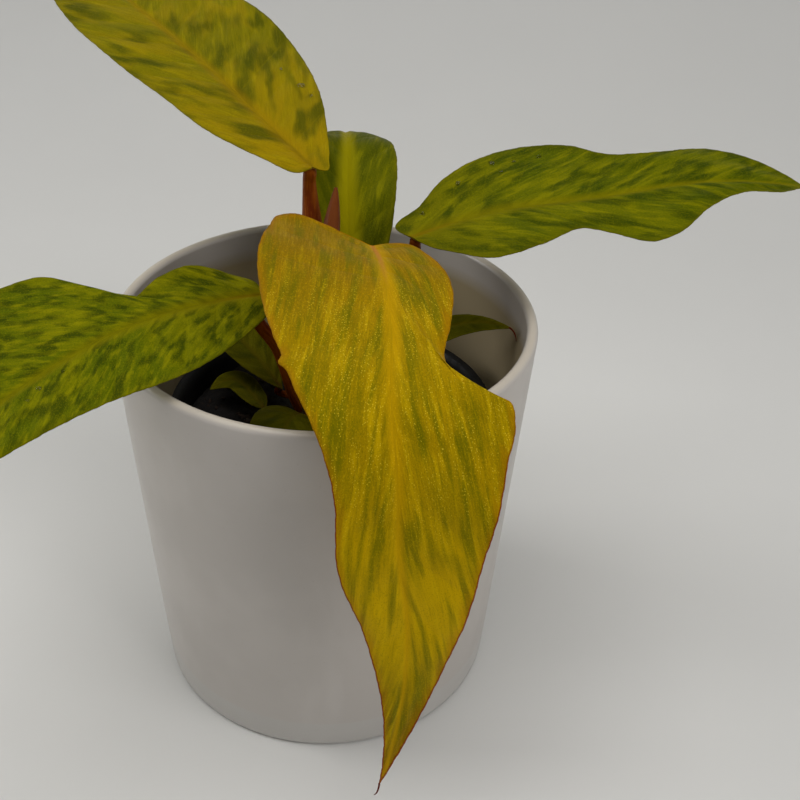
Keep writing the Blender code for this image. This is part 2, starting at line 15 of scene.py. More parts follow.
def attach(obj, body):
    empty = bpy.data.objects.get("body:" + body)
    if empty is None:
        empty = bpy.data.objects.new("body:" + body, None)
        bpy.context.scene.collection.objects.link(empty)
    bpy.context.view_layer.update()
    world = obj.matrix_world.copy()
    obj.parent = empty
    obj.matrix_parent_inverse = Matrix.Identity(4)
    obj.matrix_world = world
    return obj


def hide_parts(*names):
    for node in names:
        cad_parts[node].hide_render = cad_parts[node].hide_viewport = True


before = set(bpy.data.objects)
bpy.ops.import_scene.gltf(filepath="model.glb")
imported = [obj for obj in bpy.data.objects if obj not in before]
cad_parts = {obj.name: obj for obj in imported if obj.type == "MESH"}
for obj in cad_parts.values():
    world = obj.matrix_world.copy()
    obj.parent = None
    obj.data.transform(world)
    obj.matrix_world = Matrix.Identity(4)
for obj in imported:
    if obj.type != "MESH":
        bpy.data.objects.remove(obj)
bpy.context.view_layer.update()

MM = 0.001
ROOT = "root"

# ---------------- camera (placed first)

CAMERA_AT = (23.6, -298.5, 307.4)
CAMERA_DOWN = radians(34.54)
CAMERA_ROLL = radians(2.376)
CAMERA_LENS = 50.31


def placed(name, data, right, above, back, place):
    """An object that looks away from back, with its place in metres."""
    item = bpy.data.objects.new(name, data)
    bpy.context.scene.collection.objects.link(item)
    item.matrix_world = Matrix(np.vstack([np.stack([right, above, back, place], 1), (0, 0, 0, 1)]).tolist())
    return item


def build_camera():
    """A camera that looks along +Y and down, with a slight roll."""
    level = np.array([0, sin(CAMERA_DOWN), cos(CAMERA_DOWN)])
    ahead = np.array([0, cos(CAMERA_DOWN), -sin(CAMERA_DOWN)])
    side = np.array([1, 0, 0])
    right = cos(CAMERA_ROLL) * side + sin(CAMERA_ROLL) * level
    above = cos(CAMERA_ROLL) * level - sin(CAMERA_ROLL) * side
    data = bpy.data.cameras.new("camera")
    data.lens = CAMERA_LENS
    data.sensor_width = 36
    data.clip_start = 0.01
    data.clip_end = 50
    bpy.context.scene.camera = placed("camera", data, right, above, -ahead, np.array(CAMERA_AT) * MM)


build_camera()

# ---------------- sizes that repeat the CAD's (mm)

POT_RIM_RADIUS = 65
POT_HEIGHT = 134
POT_TAPER = 7.5
POT_WALL = 3.5
POT_FLOOR = 4.5
POT_FOOT_RADIUS = POT_RIM_RADIUS - POT_TAPER
FOOT_BAND = 12           # height of the pot's slightly greyer band above its foot, topped by a faint line; the grey is painted floor reflection and shade
NURSERY_CENTRE = (2.15, -6.88)
NURSERY_RIM_RADIUS = 51.25
NURSERY_FOOT_RADIUS = 39.25
NURSERY_RIM_TOP = 104.5
NURSERY_BOTTOM = 4.8
NURSERY_WALL = 1.2
SOIL_TOP = 97
CROWN = (-4, -8)
STEM_RISE = 25
STEM_BURIED = 8
STEM_RADIUS = 5.5
LEAF_THICKNESS = 0.8
KEEL = 1.3
FULL_PETIOLE = 2.3
BASE_STEP = 1.5
KNEE = 3
BLADE_GAP = 0.5
VEIN_SWEEP = 1.5

# Sizes that only the finer pieces have: a grown blade's relief, and the rest.
GROOVE_DEPTH = 0.5
PILLOW_RISE = 0.34
VEIN_DENT = 0.16
VEIN_BELOW = 0.25
SLOW_RIPPLE = 0.7
QUICK_RIPPLE = 0.25
DROP_HEIGHT = 0.55         # a share of a drop's radius
DROP_SINK = 0.06
PETIOLE_RUN = ((4.5, 2, 0.62), (10, 1.6, 0.42), (18, 1.2, 0.26))  # along, below, share of radius
SOIL_EDGE = 47
SOIL_DISH = 1.2
DRAIN_HOLES = 8
DRAIN_RADIUS = 3.2
RIBS = 24

# The leaves, point for point as in the CAD source: midrib from notch to tip, the directions the
# upper side looks in, each half's outline as (share of the length, out, and height if it isn't 0),
# the petiole from the crown, and its radii. Then what only the finer pieces have: the streaks'
# angle in degrees, a number that varies the pattern, how many side veins, how many rows of points,
# a tooth as (distance along, height) and drops as (side, share along, share across, radius).
LEAVES = {
    "front": dict(
        midrib=[(14, -14, 164), (18, -32, 166), (21, -55, 161), (22, -72, 150), (24, -82, 134),
                (25, -87, 115), (28, -90, 90), (27, -94, 61), (22, -98, 35)],
        faces=[(0, 0.2, 1), (0, -0.5, 1), (0, -1, 0.6), (0, -1, 0.2), (0, -1, 0.1)],
        left=[(0.01, 8, 1), (0.07, 14), (0.15, 17, -1), (0.22, 15, -2), (0.27, 13, -2), (0.3, 15),
              (0.33, 22), (0.345, 29), (0.38, 30), (0.44, 27), (0.5, 25), (0.62, 19.5), (0.76, 10.5),
              (0.9, 3.5)],
        right=[(-0.04, 6, 2), (-0.08, 12, 4), (-0.1, 19, 6), (-0.09, 24, 6), (-0.04, 28, 5),
               (0.05, 33, 3), (0.16, 33, -1), (0.25, 29, -2), (0.3, 26, -2), (0.37, 20, -1),
               (0.48, 16), (0.58, 16), (0.69, 12), (0.87, 4)],
        petiole=[(-4, -8, 112), (0, -13, 121), (9, -14.5, 142)], radii=[2.6, 2.6, 2.3, 1.9],
        look="golden_blade", streaks=80, seed=1.7, veins=13, rows=230, tooth=(51, 1.6),
    ),
    "upper_left": dict(
        midrib=[(-5, 12, 176), (-22, 31, 183), (-44, 57, 191), (-68, 85, 198), (-94, 117, 203),
                (-117, 146, 201)],
        faces=[(0.2, -0.5, 1), (0.2, -0.5, 1), (0.1, -0.4, 1)],
        left=[(0, 4), (0.06, 10), (0.15, 16), (0.3, 20), (0.45, 23), (0.6, 23), (0.75, 19),
              (0.88, 10)],
        right=[(-0.02, 3), (0, 6), (0.06, 13), (0.14, 21), (0.28, 29), (0.4, 32), (0.5, 31),
               (0.65, 27), (0.8, 17), (0.92, 7)],
        petiole=[(-4, -8, 106), (-6, -2, 118), (-5.5, 4, 135), (-5, 9, 155)],
        radii=[2.5, 2.5, 3.1, 3.3, 2],
        look="olive_blade", streaks=58, seed=4.1, veins=14, rows=200,
        drops=[(-1, 0.26, 0.74, 1.3), (-1, 0.22, 0.82, 0.8), (-1, 0.33, 0.66, 0.7)],
    ),
    "back": dict(
        midrib=[(4, 12, 130), (5, 22, 147), (4, 34, 161), (3, 50, 169), (1, 70, 165), (0, 90, 149),
                (0, 102, 126)],
        faces=[(0, -1, 0.4), (0, -1, 0.8), (0, 0, 1), (0, 0.8, 1), (0, 1, 0.4)],
        left=[(-0.02, 4), (0.03, 7), (0.12, 10), (0.25, 12), (0.4, 12, -2), (0.55, 11, -3),
              (0.7, 9, -2), (0.85, 6), (0.94, 3)],
        right=[(-0.02, 4), (0.03, 8), (0.12, 12), (0.24, 15), (0.38, 16, -2), (0.52, 14, -3),
               (0.7, 11, -2), (0.85, 7), (0.94, 3)],
        petiole=[(-4, -8, 103), (-1, -1, 112)], radii=[2.3, 2.3, 1.8],
        look="olive_blade", streaks=76, seed=7.9, veins=11, rows=160,
    ),
    "right": dict(
        midrib=[(25, 5, 158), (47, 15, 162), (84, 25, 165), (122, 36, 167), (152, 43, 163)],
        faces=[(0, -0.4, 1)] * 3,
        left=[(-0.02, 5), (0.06, 10), (0.12, 16), (0.22, 22), (0.33, 25), (0.44, 23), (0.53, 17),
              (0.64, 15), (0.78, 15), (0.87, 11), (0.95, 5)],
        right=[(0.02, 5), (0.08, 12), (0.14, 17), (0.2, 18), (0.29, 16), (0.4, 12), (0.46, 15, -1),
               (0.54, 20, -2), (0.62, 18, -2), (0.7, 12), (0.83, 5), (0.93, 4)],
        petiole=[(-4, -8, 105), (3.5, -7.5, 115), (12, -2, 136)], radii=[2.4, 2.4, 2.1, 1.7],
        look="olive_blade", streaks=68, seed=11.3, veins=12, rows=180,
        drops=[(1, 0.24, 0.7, 0.9), (1, 0.32, 0.8, 1), (1, 0.37, 0.74, 0.7), (1, 0.42, 0.82, 1),
               (1, 0.12, 0.66, 0.8), (1, 0.35, 0.62, 0.6)],
    ),
    "left": dict(
        midrib=[(-18, -12, 146), (-34, -23, 148), (-52, -38, 148), (-70, -58, 145), (-87, -78, 138),
                (-101, -98, 127), (-110, -115, 112)],
        faces=[(0.1, -0.4, 1)] * 3,
        left=[(0, 6), (0.05, 12), (0.1, 16), (0.18, 20), (0.3, 21), (0.42, 18), (0.55, 15),
              (0.68, 11), (0.8, 7), (0.92, 3)],
        right=[(0, 4), (0.04, 9), (0.11, 14, 1), (0.18, 13), (0.24, 11, -3), (0.29, 17, -1),
               (0.34, 27, 1), (0.42, 30, 1), (0.52, 28), (0.65, 20, -1), (0.8, 11, -2), (0.92, 5, -1)],
        petiole=[(-4, -8, 99), (-8, -9, 106.5), (-14, -8.5, 124.5)], radii=[2.5, 2.5, 2.2, 1.9],
        look="olive_blade", streaks=56, seed=15.2, veins=13, rows=190,
        drops=[(1, 0.6, 0.25, 0.8), (1, 0.62, 0.34, 0.6), (1, 0.56, 0.22, 0.6), (1, 0.7, 0.45, 0.7)],
    ),
    "inner_left": dict(
        midrib=[(-14, -4, 107), (-25, 6, 115), (-37, 15, 121), (-50, 22, 124)],
        faces=[(0.3, -0.5, 1), (0.2, -0.5, 1)],
        left=[(0.1, 3), (0.4, 7), (0.7, 6), (0.88, 3)], right=[(0.1, 3), (0.4, 7), (0.7, 6), (0.88, 3)],
        petiole=[(-4, -8, 101), (-8, -5, 104)], radii=[1.3, 1.3, 1.1],
        look="inner_blade", streaks=45, seed=19.4, veins=8, rows=80,
    ),
    "low_left": dict(
        midrib=[(-19, -10, 103), (-24, -3, 104.5), (-30, 2, 106), (-38, 0, 103)],
        faces=[(0, -0.3, 1)] * 2,
        left=[(0.1, 2), (0.4, 4), (0.8, 3)], right=[(0.1, 2), (0.4, 4), (0.8, 3)],
        petiole=[(-4, -8, 100), (-12, -10, 100.5)], radii=[1.1, 1.1, 0.9],
        look="inner_blade", streaks=45, seed=23.6, veins=6, rows=60,
    ),
    "low_front": dict(
        midrib=[(-7, -18, 108), (-9, -25, 111), (-11, -34, 110), (-12, -43, 105)],
        faces=[(0, -0.3, 1), (0, -0.5, 1)],
        left=[(0.05, 6), (0.3, 11), (0.6, 10), (0.85, 5)],
        right=[(0.05, 6), (0.3, 10), (0.6, 10), (0.85, 5)],
        petiole=[(-4, -8, 100), (-6, -14, 103)], radii=[1.3, 1.3, 1.1],
        look="inner_blade", streaks=45, seed=27.1, veins=7, rows=70,
    ),
    "inner_right": dict(
        midrib=[(12, 5, 105), (25, 12, 116), (38, 14, 122), (50, 11, 126), (58, 6, 127)],
        faces=[(0, -0.8, 1)] * 2,
        left=[(0.1, 2), (0.4, 4), (0.7, 3), (0.9, 1)],
        right=[(0.1, 2), (0.4, 5), (0.7, 4), (0.9, 2)],
        petiole=[(-4, -8, 100.5), (4, -2, 101.5)], radii=[1.2, 1.2, 0.8],
        look="inner_blade", streaks=60, seed=31.8, veins=7, rows=80,
    ),
}

NEW_LEAF = [(-4, -8, 122), (-4, -8, 127), (-3, -6, 136), (-1, -2, 148), (1, 3, 160), (2, 10, 170.5)]
NEW_LEAF_RADII = [3.4, 3.4, 3.2, 3, 2.7, 0.5]


# ---------------- curves, as in the CAD source

def through(knots, values, at):
    """A smooth curve through the values at the knots, read at other knots."""
    knots = np.asarray(knots, float)
    values = np.asarray(values, float)
    at = np.asarray(at, float)
    if len(knots) == 2:
        share = ((at - knots[0]) / (knots[1] - knots[0]))[..., None]
        return values[0] * (1 - share) + values[1] * share
    slopes = np.gradient(values, knots, axis=0, edge_order=2)
    low = np.clip(np.searchsorted(knots, at, side="right") - 1, 0, len(knots) - 2)
    step = (knots[low + 1] - knots[low])[..., None]
    u = ((at - knots[low]))[..., None] / step
    start = (1 + 2 * u) * (1 - u) ** 2 * values[low] + u * (1 - u) ** 2 * step * slopes[low]
    end = u ** 2 * (3 - 2 * u) * values[low + 1] - u ** 2 * (1 - u) * step * slopes[low + 1]
    return start + end


def distances(points):
    """Distance along a chain of points, from its first point."""
    steps = np.linalg.norm(np.diff(points, axis=0), axis=1)
    return np.concatenate([[0], np.cumsum(steps)])


def unit(vectors):
    return vectors / np.linalg.norm(vectors, axis=-1, keepdims=True)


def squared(vectors, directions):
    """The unit vectors nearest to the given ones that are square to the directions."""
    return unit(vectors - (vectors * directions).sum(-1, keepdims=True) * directions)


def midrib_frames(leaf, count=600):
    """Points, directions and upper-side normals along a leaf's midrib, evenly spaced."""
    points = np.asarray(leaf["midrib"], float)
    knots = distances(points)
    line = through(knots, points, np.linspace(0, knots[-1], count))
    along = distances(line)
    ahead = unit(np.gradient(line, along, axis=0))
    faces = np.asarray(leaf["faces"], float)
    looks = through(np.linspace(0, along[-1], len(faces)), faces, along)
    return along, line, ahead, squared(looks, ahead)


def frames_at(frames, s):
    """The midrib's point, direction and normal at distances s; straight before its start."""
    along, *tables = frames
    inside = np.clip(s, 0, along[-1])
    point, direction, normal = (
        np.stack([np.interp(inside, along, table[:, k]) for k in range(3)], -1) for table in tables)
    direction = unit(direction)
    return point + (s - inside)[..., None] * direction, direction, squared(normal, direction)


def leaf_size(leaf):
    """1 for a full-grown leaf, less for a young one with a thin petiole."""
    return min(1, leaf["radii"][0] / FULL_PETIOLE)


# ---------------- materials

def srgb(red, green, blue):
    """A screen colour, each part 0 to 255, as the shader's linear colour."""
    linear = []
    for part in (red, green, blue):
        share = part / 255
        linear.append(share / 12.92 if share <= 0.04045 else ((share + 0.055) / 1.055) ** 2.4)
    return (*linear, 1)


class Look:
    """One Principled material, the colour laid on it so far, and short names for its nodes."""

    def __init__(self, name, specular, tint=None):
        self.material = bpy.data.materials.new(name)
        self.material.use_nodes = True
        self.tree = self.material.node_tree
        self.shader = self.tree.nodes["Principled BSDF"]
        self.colour = None
        self.set("Specular IOR Level", specular)
        if tint:
            self.set("Specular Tint", srgb(*tint))

    def set(self, socket, value):
        self.put(self.shader.inputs[socket], value)

    def put(self, socket, value):
        if isinstance(value, bpy.types.NodeSocket):
            self.tree.links.new(value, socket)
        else:
            socket.default_value = value

    def add(self, kind, values, output=0, **settings):
        node = self.tree.nodes.new("ShaderNode" + kind)
        for key, value in settings.items():
            setattr(node, key, value)
        for key, value in values.items():
            self.put(node.inputs[key], value)
        return node.outputs[output]

    def attribute(self, name, output="Fac"):
        return self.add("Attribute", {}, output, attribute_name=name)

    def position(self):
        """The piece's own coordinates, in metres."""
        return self.add("TexCoord", {}, "Object")

    def calc(self, operation, first, second=0):
        return self.add("Math", {0: first, 1: second}, operation=operation)

    def times(self, first, second):
        return self.calc("MULTIPLY", first, second)

    def plus(self, first, second, share=1):
        """The first, and a share of the second."""
        return self.calc("ADD", first, self.times(second, share))

    def ease(self, value, low, high, start=0, stop=1):
        """start below low, stop above high, and a smooth step between them."""
        names = ("Value", "From Min", "From Max", "To Min", "To Max")
        values = dict(zip(names, (value, low, high, start, stop)))
        return self.add("MapRange", values, interpolation_type="SMOOTHSTEP")

    def noise(self, vector, scale, detail=2, roughness=0.5, distortion=0):
        """Noise between 0 and 1. The scale is one number, or one for each axis."""
        if isinstance(scale, tuple):
            vector = self.add("Mapping", dict(Vector=vector, Scale=scale))
            scale = 1
        values = dict(Vector=vector, Scale=scale, Detail=detail, Roughness=roughness)
        return self.add("TexNoise", dict(values, Distortion=distortion))

    def cells(self, vector, scale):
        return self.add("TexVoronoi", dict(Vector=vector, Scale=scale), "Distance")

    def mix(self, factor, first, second):
        return self.add("Mix", {0: factor, 6: first, 7: second}, 2, data_type="RGBA")

    def paint(self, first, second, value, *span):
        """The first colour, and the second where value is high or has passed the span."""
        mask = self.ease(value, *span) if span else value
        self.colour = self.mix(mask, srgb(*first), srgb(*second))

    def lay(self, colour, share, value, *span):
        """A share of a colour over the rest, where value is high or has passed the span."""
        mask = self.ease(value, *span) if span else value
        self.colour = self.mix(self.times(mask, share), self.colour, srgb(*colour))

    def bump(self, height, distance, strength=1):
        """Relief from a height; the distance is in millimetres."""
        values = dict(Height=height, Distance=distance * MM, Strength=strength)
        self.set("Normal", self.add("Bump", values, "Normal"))

    def done(self, roughness):
        self.set("Base Color", self.colour)
        self.set("Roughness", roughness)
        return self.material


def blade_top_look(name, tones):
    """The upper side of a blade. Tones names its colours; the attributes come with the mesh."""
    look = Look(name, 0.08, (255, 205, 70))
    streak = look.attribute("streak", "Vector")
    along = look.attribute("share")
    edge = look.attribute("edge")
    bright = tones["bright"]
    green = tones["green"]

    patches = look.noise(streak, (0.1, 0.05, 1), 2, 0.55, 0.4)
    blotches = look.noise(streak, (*tones["blotch"], 1), 1.6, 0.5, 0.25)
    streaks = look.noise(streak, (*tones["streak"], 1.3), 2, 0.55, 0.2)
    threads = look.noise(streak, (1.9, 0.15, 1), 2, 0.6, 0.2)
    grains = look.noise(streak, (3.2, 2.2, 1), 2, 0.7)

    def lay(part, value, *span):
        """One of the tones by its own share."""
        look.lay(tones[part], tones[part + "_share"], value, *span)

    look.paint(tones["light"], tones["middle"], patches, 0.4, 0.6)
    lay("base", along, 0.34, 0.04)
    lay("tip", along, 0.4, 0.72)
    lay("end", along, 0.64, 0.88)
    plain_base = look.ease(along, 0.08, 0.3, tones["base_streaks"], 1)
    look.lay(bright, tones["streak_share"], look.times(plain_base, look.ease(streaks, 0.46, 0.7)))
    lay("green", blotches, 0.44, 0.68)
    look.lay(bright, tones["thread_share"], threads, 0.52, 0.74)
    look.lay(green, tones["thread_share"], threads, 0.47, 0.28)
    look.lay(bright, GRAIN_SHARE, grains, 0.52, 0.72)
    look.lay(green, GRAIN_SHARE, grains, 0.47, 0.3)
    # Painted glints: small bright dots of the speck tone stand in for the sparkle of the blade's cells
    # where they catch the light, over the middle stretch of the blade and on the streaks.
    glint_dots = look.ease(look.cells(streak, 1.7), 0.34, 0.1)
    glint_stretch = look.times(look.ease(along, 0.04, 0.2), look.ease(along, 0.66, 0.42))
    lay("painted_glint", look.times(glint_dots, look.times(glint_stretch, look.ease(streaks, 0.42, 0.55))))

    look.lay(bright, tones["vein_share"], look.attribute("vein"), 0.6, 1)
    off_rib = look.calc("ABSOLUTE", look.attribute("out"))
    width = look.ease(along, 0, 0.9, tones["rib_width"], 0.5)
    lay("rib", look.calc("DIVIDE", off_rib, width), 2, 0.1)
    look.lay(tones["heel"], 0.7, look.times(look.ease(off_rib, 1, 0.3), look.ease(along, 0.15, 0.02)))
    lay("warm", look.plus(edge, streaks, 4), 4.6, 2)
    rim = look.ease(look.plus(edge, grains, 0.3), 0.62, 0.32)
    lay("margin", look.times(rim, look.ease(along, *tones["margin_from"], 0.1, 1)))
    look.bump(look.plus(threads, grains, 0.6), 0.14, 0.8)
    return look.done(look.ease(threads, 0.3, 0.7, 0.54, 0.42))


def blade_under_look(name, pale, green, rib_colour, margin):
    """The underside: paler, duller, with a raised rib of its own colour."""
    look = Look(name, 0.15, (255, 225, 130))
    streak = look.attribute("streak", "Vector")
    vein = look.attribute("vein")
    patches = look.noise(streak, (0.16, 0.05, 1), 3, 0.6, 0.4)
    cells = look.noise(streak, (2.4, 1.2, 1), 2, 0.6)
    look.paint(pale, green, patches, 0.38, 0.64)
    look.lay(pale, 0.3, cells, 0.55, 0.75)
    look.lay(rib_colour, 0.5, vein, 0.7, 1)
    look.lay(rib_colour, 0.85, look.calc("ABSOLUTE", look.attribute("out")), 2.2, 0.9)
    look.lay(margin, 0.7, look.attribute("edge"), 0.8, 0.35)
    look.bump(look.plus(cells, vein), 0.12, 0.8)
    return look.done(look.ease(patches, 0.3, 0.7, 0.62, 0.5))


# Tones of the blades' upper sides. A share says how strongly a tone is laid on, and blotch and
# streak are how often each repeats per millimetre, across and along the streaks.
GRAIN_SHARE = 0.4
# The speck tones are painted glints from the cells' sparkle, not a colour of the leaf.
GOLDEN = dict(
    light=(158, 128, 4), middle=(138, 116, 4), blotch=(0.4, 0.045), green=(88, 92, 4),
    green_share=0.65, streak=(0.55, 0.06), bright=(198, 164, 6), streak_share=0.55, thread_share=0.3,
    painted_glint=(226, 196, 50), painted_glint_share=0.7, base=(128, 96, 4), base_share=0.85, base_streaks=0.3,
    vein_share=0.04, tip=(200, 164, 4), tip_share=0.9, end=(112, 98, 4), end_share=0.85,
    rib=(200, 154, 4), rib_width=2, rib_share=0.5, heel=(176, 112, 54), warm=(166, 102, 4),
    warm_share=0.35, margin=(120, 26, 8), margin_from=(0.32, 0.5), margin_share=0.85)
OLIVE = dict(
    light=(96, 100, 3), middle=(76, 86, 3), blotch=(0.3, 0.09), green=(38, 56, 3),
    green_share=0.8, streak=(0.5, 0.08), bright=(130, 126, 4), streak_share=0.6, thread_share=0.2,
    painted_glint=(150, 146, 30), painted_glint_share=0.15, base=(112, 102, 3), base_share=0.35, base_streaks=0.8,
    vein_share=0.16, tip=(92, 98, 3), tip_share=0.2, end=(92, 98, 3), end_share=0,
    rib=(124, 114, 4), rib_width=2, rib_share=0.55, heel=(120, 98, 6), warm=(82, 80, 3),
    warm_share=0.2, margin=(104, 100, 14), margin_from=(0, 0.1), margin_share=0.4)
LIMY = dict(
    OLIVE, light=(104, 108, 3), middle=(80, 92, 3), green=(36, 54, 3), blotch=(0.42, 0.18),
    streak=(0.6, 0.18), bright=(136, 132, 4), base=(112, 104, 3))
YELLOWER = dict(
    OLIVE, light=(130, 114, 3), middle=(110, 104, 3), green=(52, 62, 3), blotch=(0.16, 0.06),
    bright=(154, 138, 3), streak_share=0.4, base=(150, 122, 3), base_share=0.7, rib=(144, 110, 3),
    rib_share=0.4, warm=(100, 96, 3))
STRIPED = dict(
    OLIVE, light=(84, 88, 3), middle=(70, 78, 3), green=(36, 52, 3), blotch=(0.22, 0.06),
    green_share=0.5, rib=(148, 138, 4), rib_width=3.4, rib_share=0.85, heel=(96, 90, 10))
INNER = dict(
    OLIVE, light=(78, 76, 4), middle=(64, 66, 4), green=(40, 48, 4), bright=(90, 88, 6),
    base=(72, 64, 4), tip=(80, 78, 4), rib=(88, 78, 6), rib_width=0.7, heel=(76, 56, 14))
TOP_TONES = {"front": GOLDEN, "upper_left": YELLOWER, "back": STRIPED, "right": OLIVE, "left": LIMY}


def petiole_look():
    """Waxy russet petioles: greener low down, mottled with red, with fine lengthwise ribs."""
    look = Look("petiole_skin", 0.15, (255, 190, 110))
    grain = look.attribute("grain", "Vector")
    along = look.attribute("share")
    lines = look.noise(grain, (2.6, 2.6, 0.05), 3, 0.6)
    blush = look.noise(grain, (0.25, 0.25, 0.06), 2, 0.5)
    freckles = look.noise(grain, (1.6, 1.6, 0.5), 2, 0.7)
    look.paint((128, 62, 6), (90, 30, 6), blush, 0.38, 0.62)
    look.lay((84, 48, 10), 0.5, along, 0.35, 0)
    look.lay((160, 92, 20), 0.4, lines, 0.52, 0.7)
    look.lay((70, 20, 8), 0.4, freckles, 0.62, 0.74)
    look.lay((156, 96, 10), 0.45, along, 0.9, 1)
    look.bump(lines, 0.22, 0.8)
    return look.done(look.ease(lines, 0.3, 0.7, 0.5, 0.36))


def sheath_look(name, light, dark, relief, rough):
    """A rolled young leaf, or a dried thread of one. Rough is its roughness, low and high."""
    look = Look(name, 0.15, (255, 205, 150))
    grain = look.attribute("grain", "Vector")
    lines = look.noise(grain, (3, 3, 0.06), 3, 0.65)
    blush = look.noise(grain, (0.22, 0.22, 0.05), 2, 0.5, 0.4)
    look.paint(light, dark, blush, 0.36, 0.64)
    look.lay(light, 0.5, lines, 0.5, 0.72)
    look.bump(lines, relief, 0.9)
    return look.done(look.ease(lines, 0.3, 0.7, *rough))


def stem_look():
    """Short woody stem: tan and olive bark with darker leaf scars and pores."""
    look = Look("stem_bark", 0.25)
    grain = look.attribute("grain", "Vector")
    lines = look.noise(grain, (1.6, 1.6, 0.25), 4, 0.65)
    pores = look.cells(grain, 0.9)
    look.paint((112, 92, 40), (74, 58, 28), lines, 0.35, 0.65)
    look.lay((160, 134, 84), 0.6, pores, 0.25, 0.12)
    look.lay((52, 32, 16), 0.8, look.attribute("scar"))
    look.bump(look.plus(lines, pores), 0.35)
    return look.done(look.ease(lines, 0.3, 0.7, 0.6, 0.82))


def glaze_look():
    """Satin white glaze: faint clouding, pinholes, warmer on the lip, painted brown shade and leaf
    reflection inside, and a painted greyer band of floor reflection and shade at the foot.
    """
    look = Look("satin_glaze", 0.5)
    place = look.position()
    height = look.attribute("height")
    bare = look.attribute("bare")
    clouds = look.noise(place, 22, 3, 0.55)
    drift = look.noise(place, (60, 60, 14), 3, 0.55)
    look.paint((187, 181, 175), (180, 174, 168), clouds, 0.36, 0.64)
    look.lay((193, 188, 183), 0.35, drift, 0.55, 0.75)
    look.lay((164, 156, 144), 0.25, look.cells(place, 260), 0.1, 0.04)
    # Painted floor reflection and shade: a cooler grey is laid on the glaze below the faint line above the
    # foot.
    look.lay((184, 185, 182), 0.35, height, FOOT_BAND + 0.5, FOOT_BAND - 0.5)
    look.lay((204, 192, 166), 0.35, look.plus(height, drift, 0.8), POT_HEIGHT - 0.6, POT_HEIGHT + 0.4)
    # Painted shade and reflection: the inside wall is darkened to a brownish grey for the shade in the pot
    # and the leaves' reflected colour.
    look.lay((158, 142, 106), 0.85, look.attribute("inside"))
    look.lay((186, 172, 150), 1, bare)
    look.bump(look.plus(clouds, drift, 0.4), 0.25, 0.6)
    satin = look.ease(drift, 0.3, 0.7, 0.3, 0.42)
    return look.done(look.add("Mix", {0: bare, 2: satin, 3: 0.85}, 0))


def plastic_look():
    """Thin black blow-moulded plastic: near black, scuffed grey in streaks, faint moulding grain."""
    look = Look("black_nursery_plastic", 0.2)
    place = look.position()
    scuffs = look.noise(place, (240, 240, 60), 4, 0.7)
    look.paint((8, 8, 9), (30, 29, 27), scuffs, 0.58, 0.78, 0, 0.5)
    look.lay((22, 19, 16), 0.5, look.noise(place, 90, 3, 0.6), 0.52, 0.75)
    look.bump(look.noise(place, 1800, 2, 0.6), 0.05, 0.7)
    return look.done(look.ease(scuffs, 0.3, 0.8, 0.42, 0.75))


def soil_look(name, dark, light, damp):
    """Potting mix or the bits in it: small crumbs, with darker and damper clods."""
    look = Look(name, 0.25)
    place = look.position()
    crumbs = look.noise(place, 420, 5, 0.7)
    clods = look.noise(place, 90, 3, 0.6)
    look.paint(dark, light, crumbs, 0.35, 0.7)
    look.lay(dark, 0.6, clods, 0.45, 0.65)
    look.bump(look.plus(crumbs, clods), 0.8)
    return look.done(look.ease(clods, 0.35, 0.65, damp, 0.95))


def water_look():
    """Clear drops with a faintly uneven skin."""
    look = Look("water", 0.5)
    look.set("Transmission Weight", 1)
    look.set("IOR", 1.33)
    ripples = look.noise(look.position(), 3000)
    look.paint((250, 250, 244), (240, 244, 236), ripples)
    return look.done(look.ease(ripples, 0.3, 0.7, 0.02, 0.06))


def root_look():
    """Pale roots with fine dark hairs."""
    look = Look("root_skin", 0.3)
    hairs = look.noise(look.position(), (900, 900, 200), 4, 0.7)
    look.paint((206, 190, 158), (150, 122, 84), hairs, 0.35, 0.7)
    look.bump(hairs, 0.3)
    return look.done(look.ease(hairs, 0.3, 0.7, 0.6, 0.85))


def floor_look():
    """Matt pale paper, hardly clouded."""
    look = Look("pale_sweep", 0.25)
    look.paint((224, 224, 222), (220, 220, 218), look.noise(look.position(), 9, 3))
    return look.done(0.7)


WATER = water_look()

# ---------------- meshes

def mesh_object(name, vertices, faces, looks, slots=None, values=None):
    """An object from millimetre points, with per-vertex attributes and a material slot per face."""
    mesh = bpy.data.meshes.new(name)
    points = np.asarray(vertices, float) * MM
    mesh.from_pydata(points.tolist(), [], faces)
    for look in looks:
        mesh.materials.append(look)
    if slots is not None:
        mesh.polygons.foreach_set("material_index", np.asarray(slots, np.int32))
    for key, data in (values or {}).items():
        data = np.asarray(data, np.float32)
        kind = "FLOAT_VECTOR" if data.ndim == 2 else "FLOAT"
        made = mesh.attributes.new(key, kind, "POINT")
        made.data.foreach_set("vector" if data.ndim == 2 else "value", data.ravel())
    mesh.validate()
    mesh.shade_smooth()
    item = bpy.data.objects.new(name, mesh)
    bpy.context.scene.collection.objects.link(item)
    return item


def finish_piece(item, slot_name, *nodes):
    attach(item, ROOT)
    if nodes:
        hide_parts(*nodes)


def trimmed(face):
    """A face's corners without the repeated ones."""
    return [int(corner) for k, corner in enumerate(face) if corner != face[k - 1]]


def blade_columns(count):
    """Shares from the midrib to the margin, closer together at both ends."""
    u = np.linspace(0, 1, count + 1)
    return 0.5 * (u ** 1.6 + 1 - (1 - u) ** 1.6)


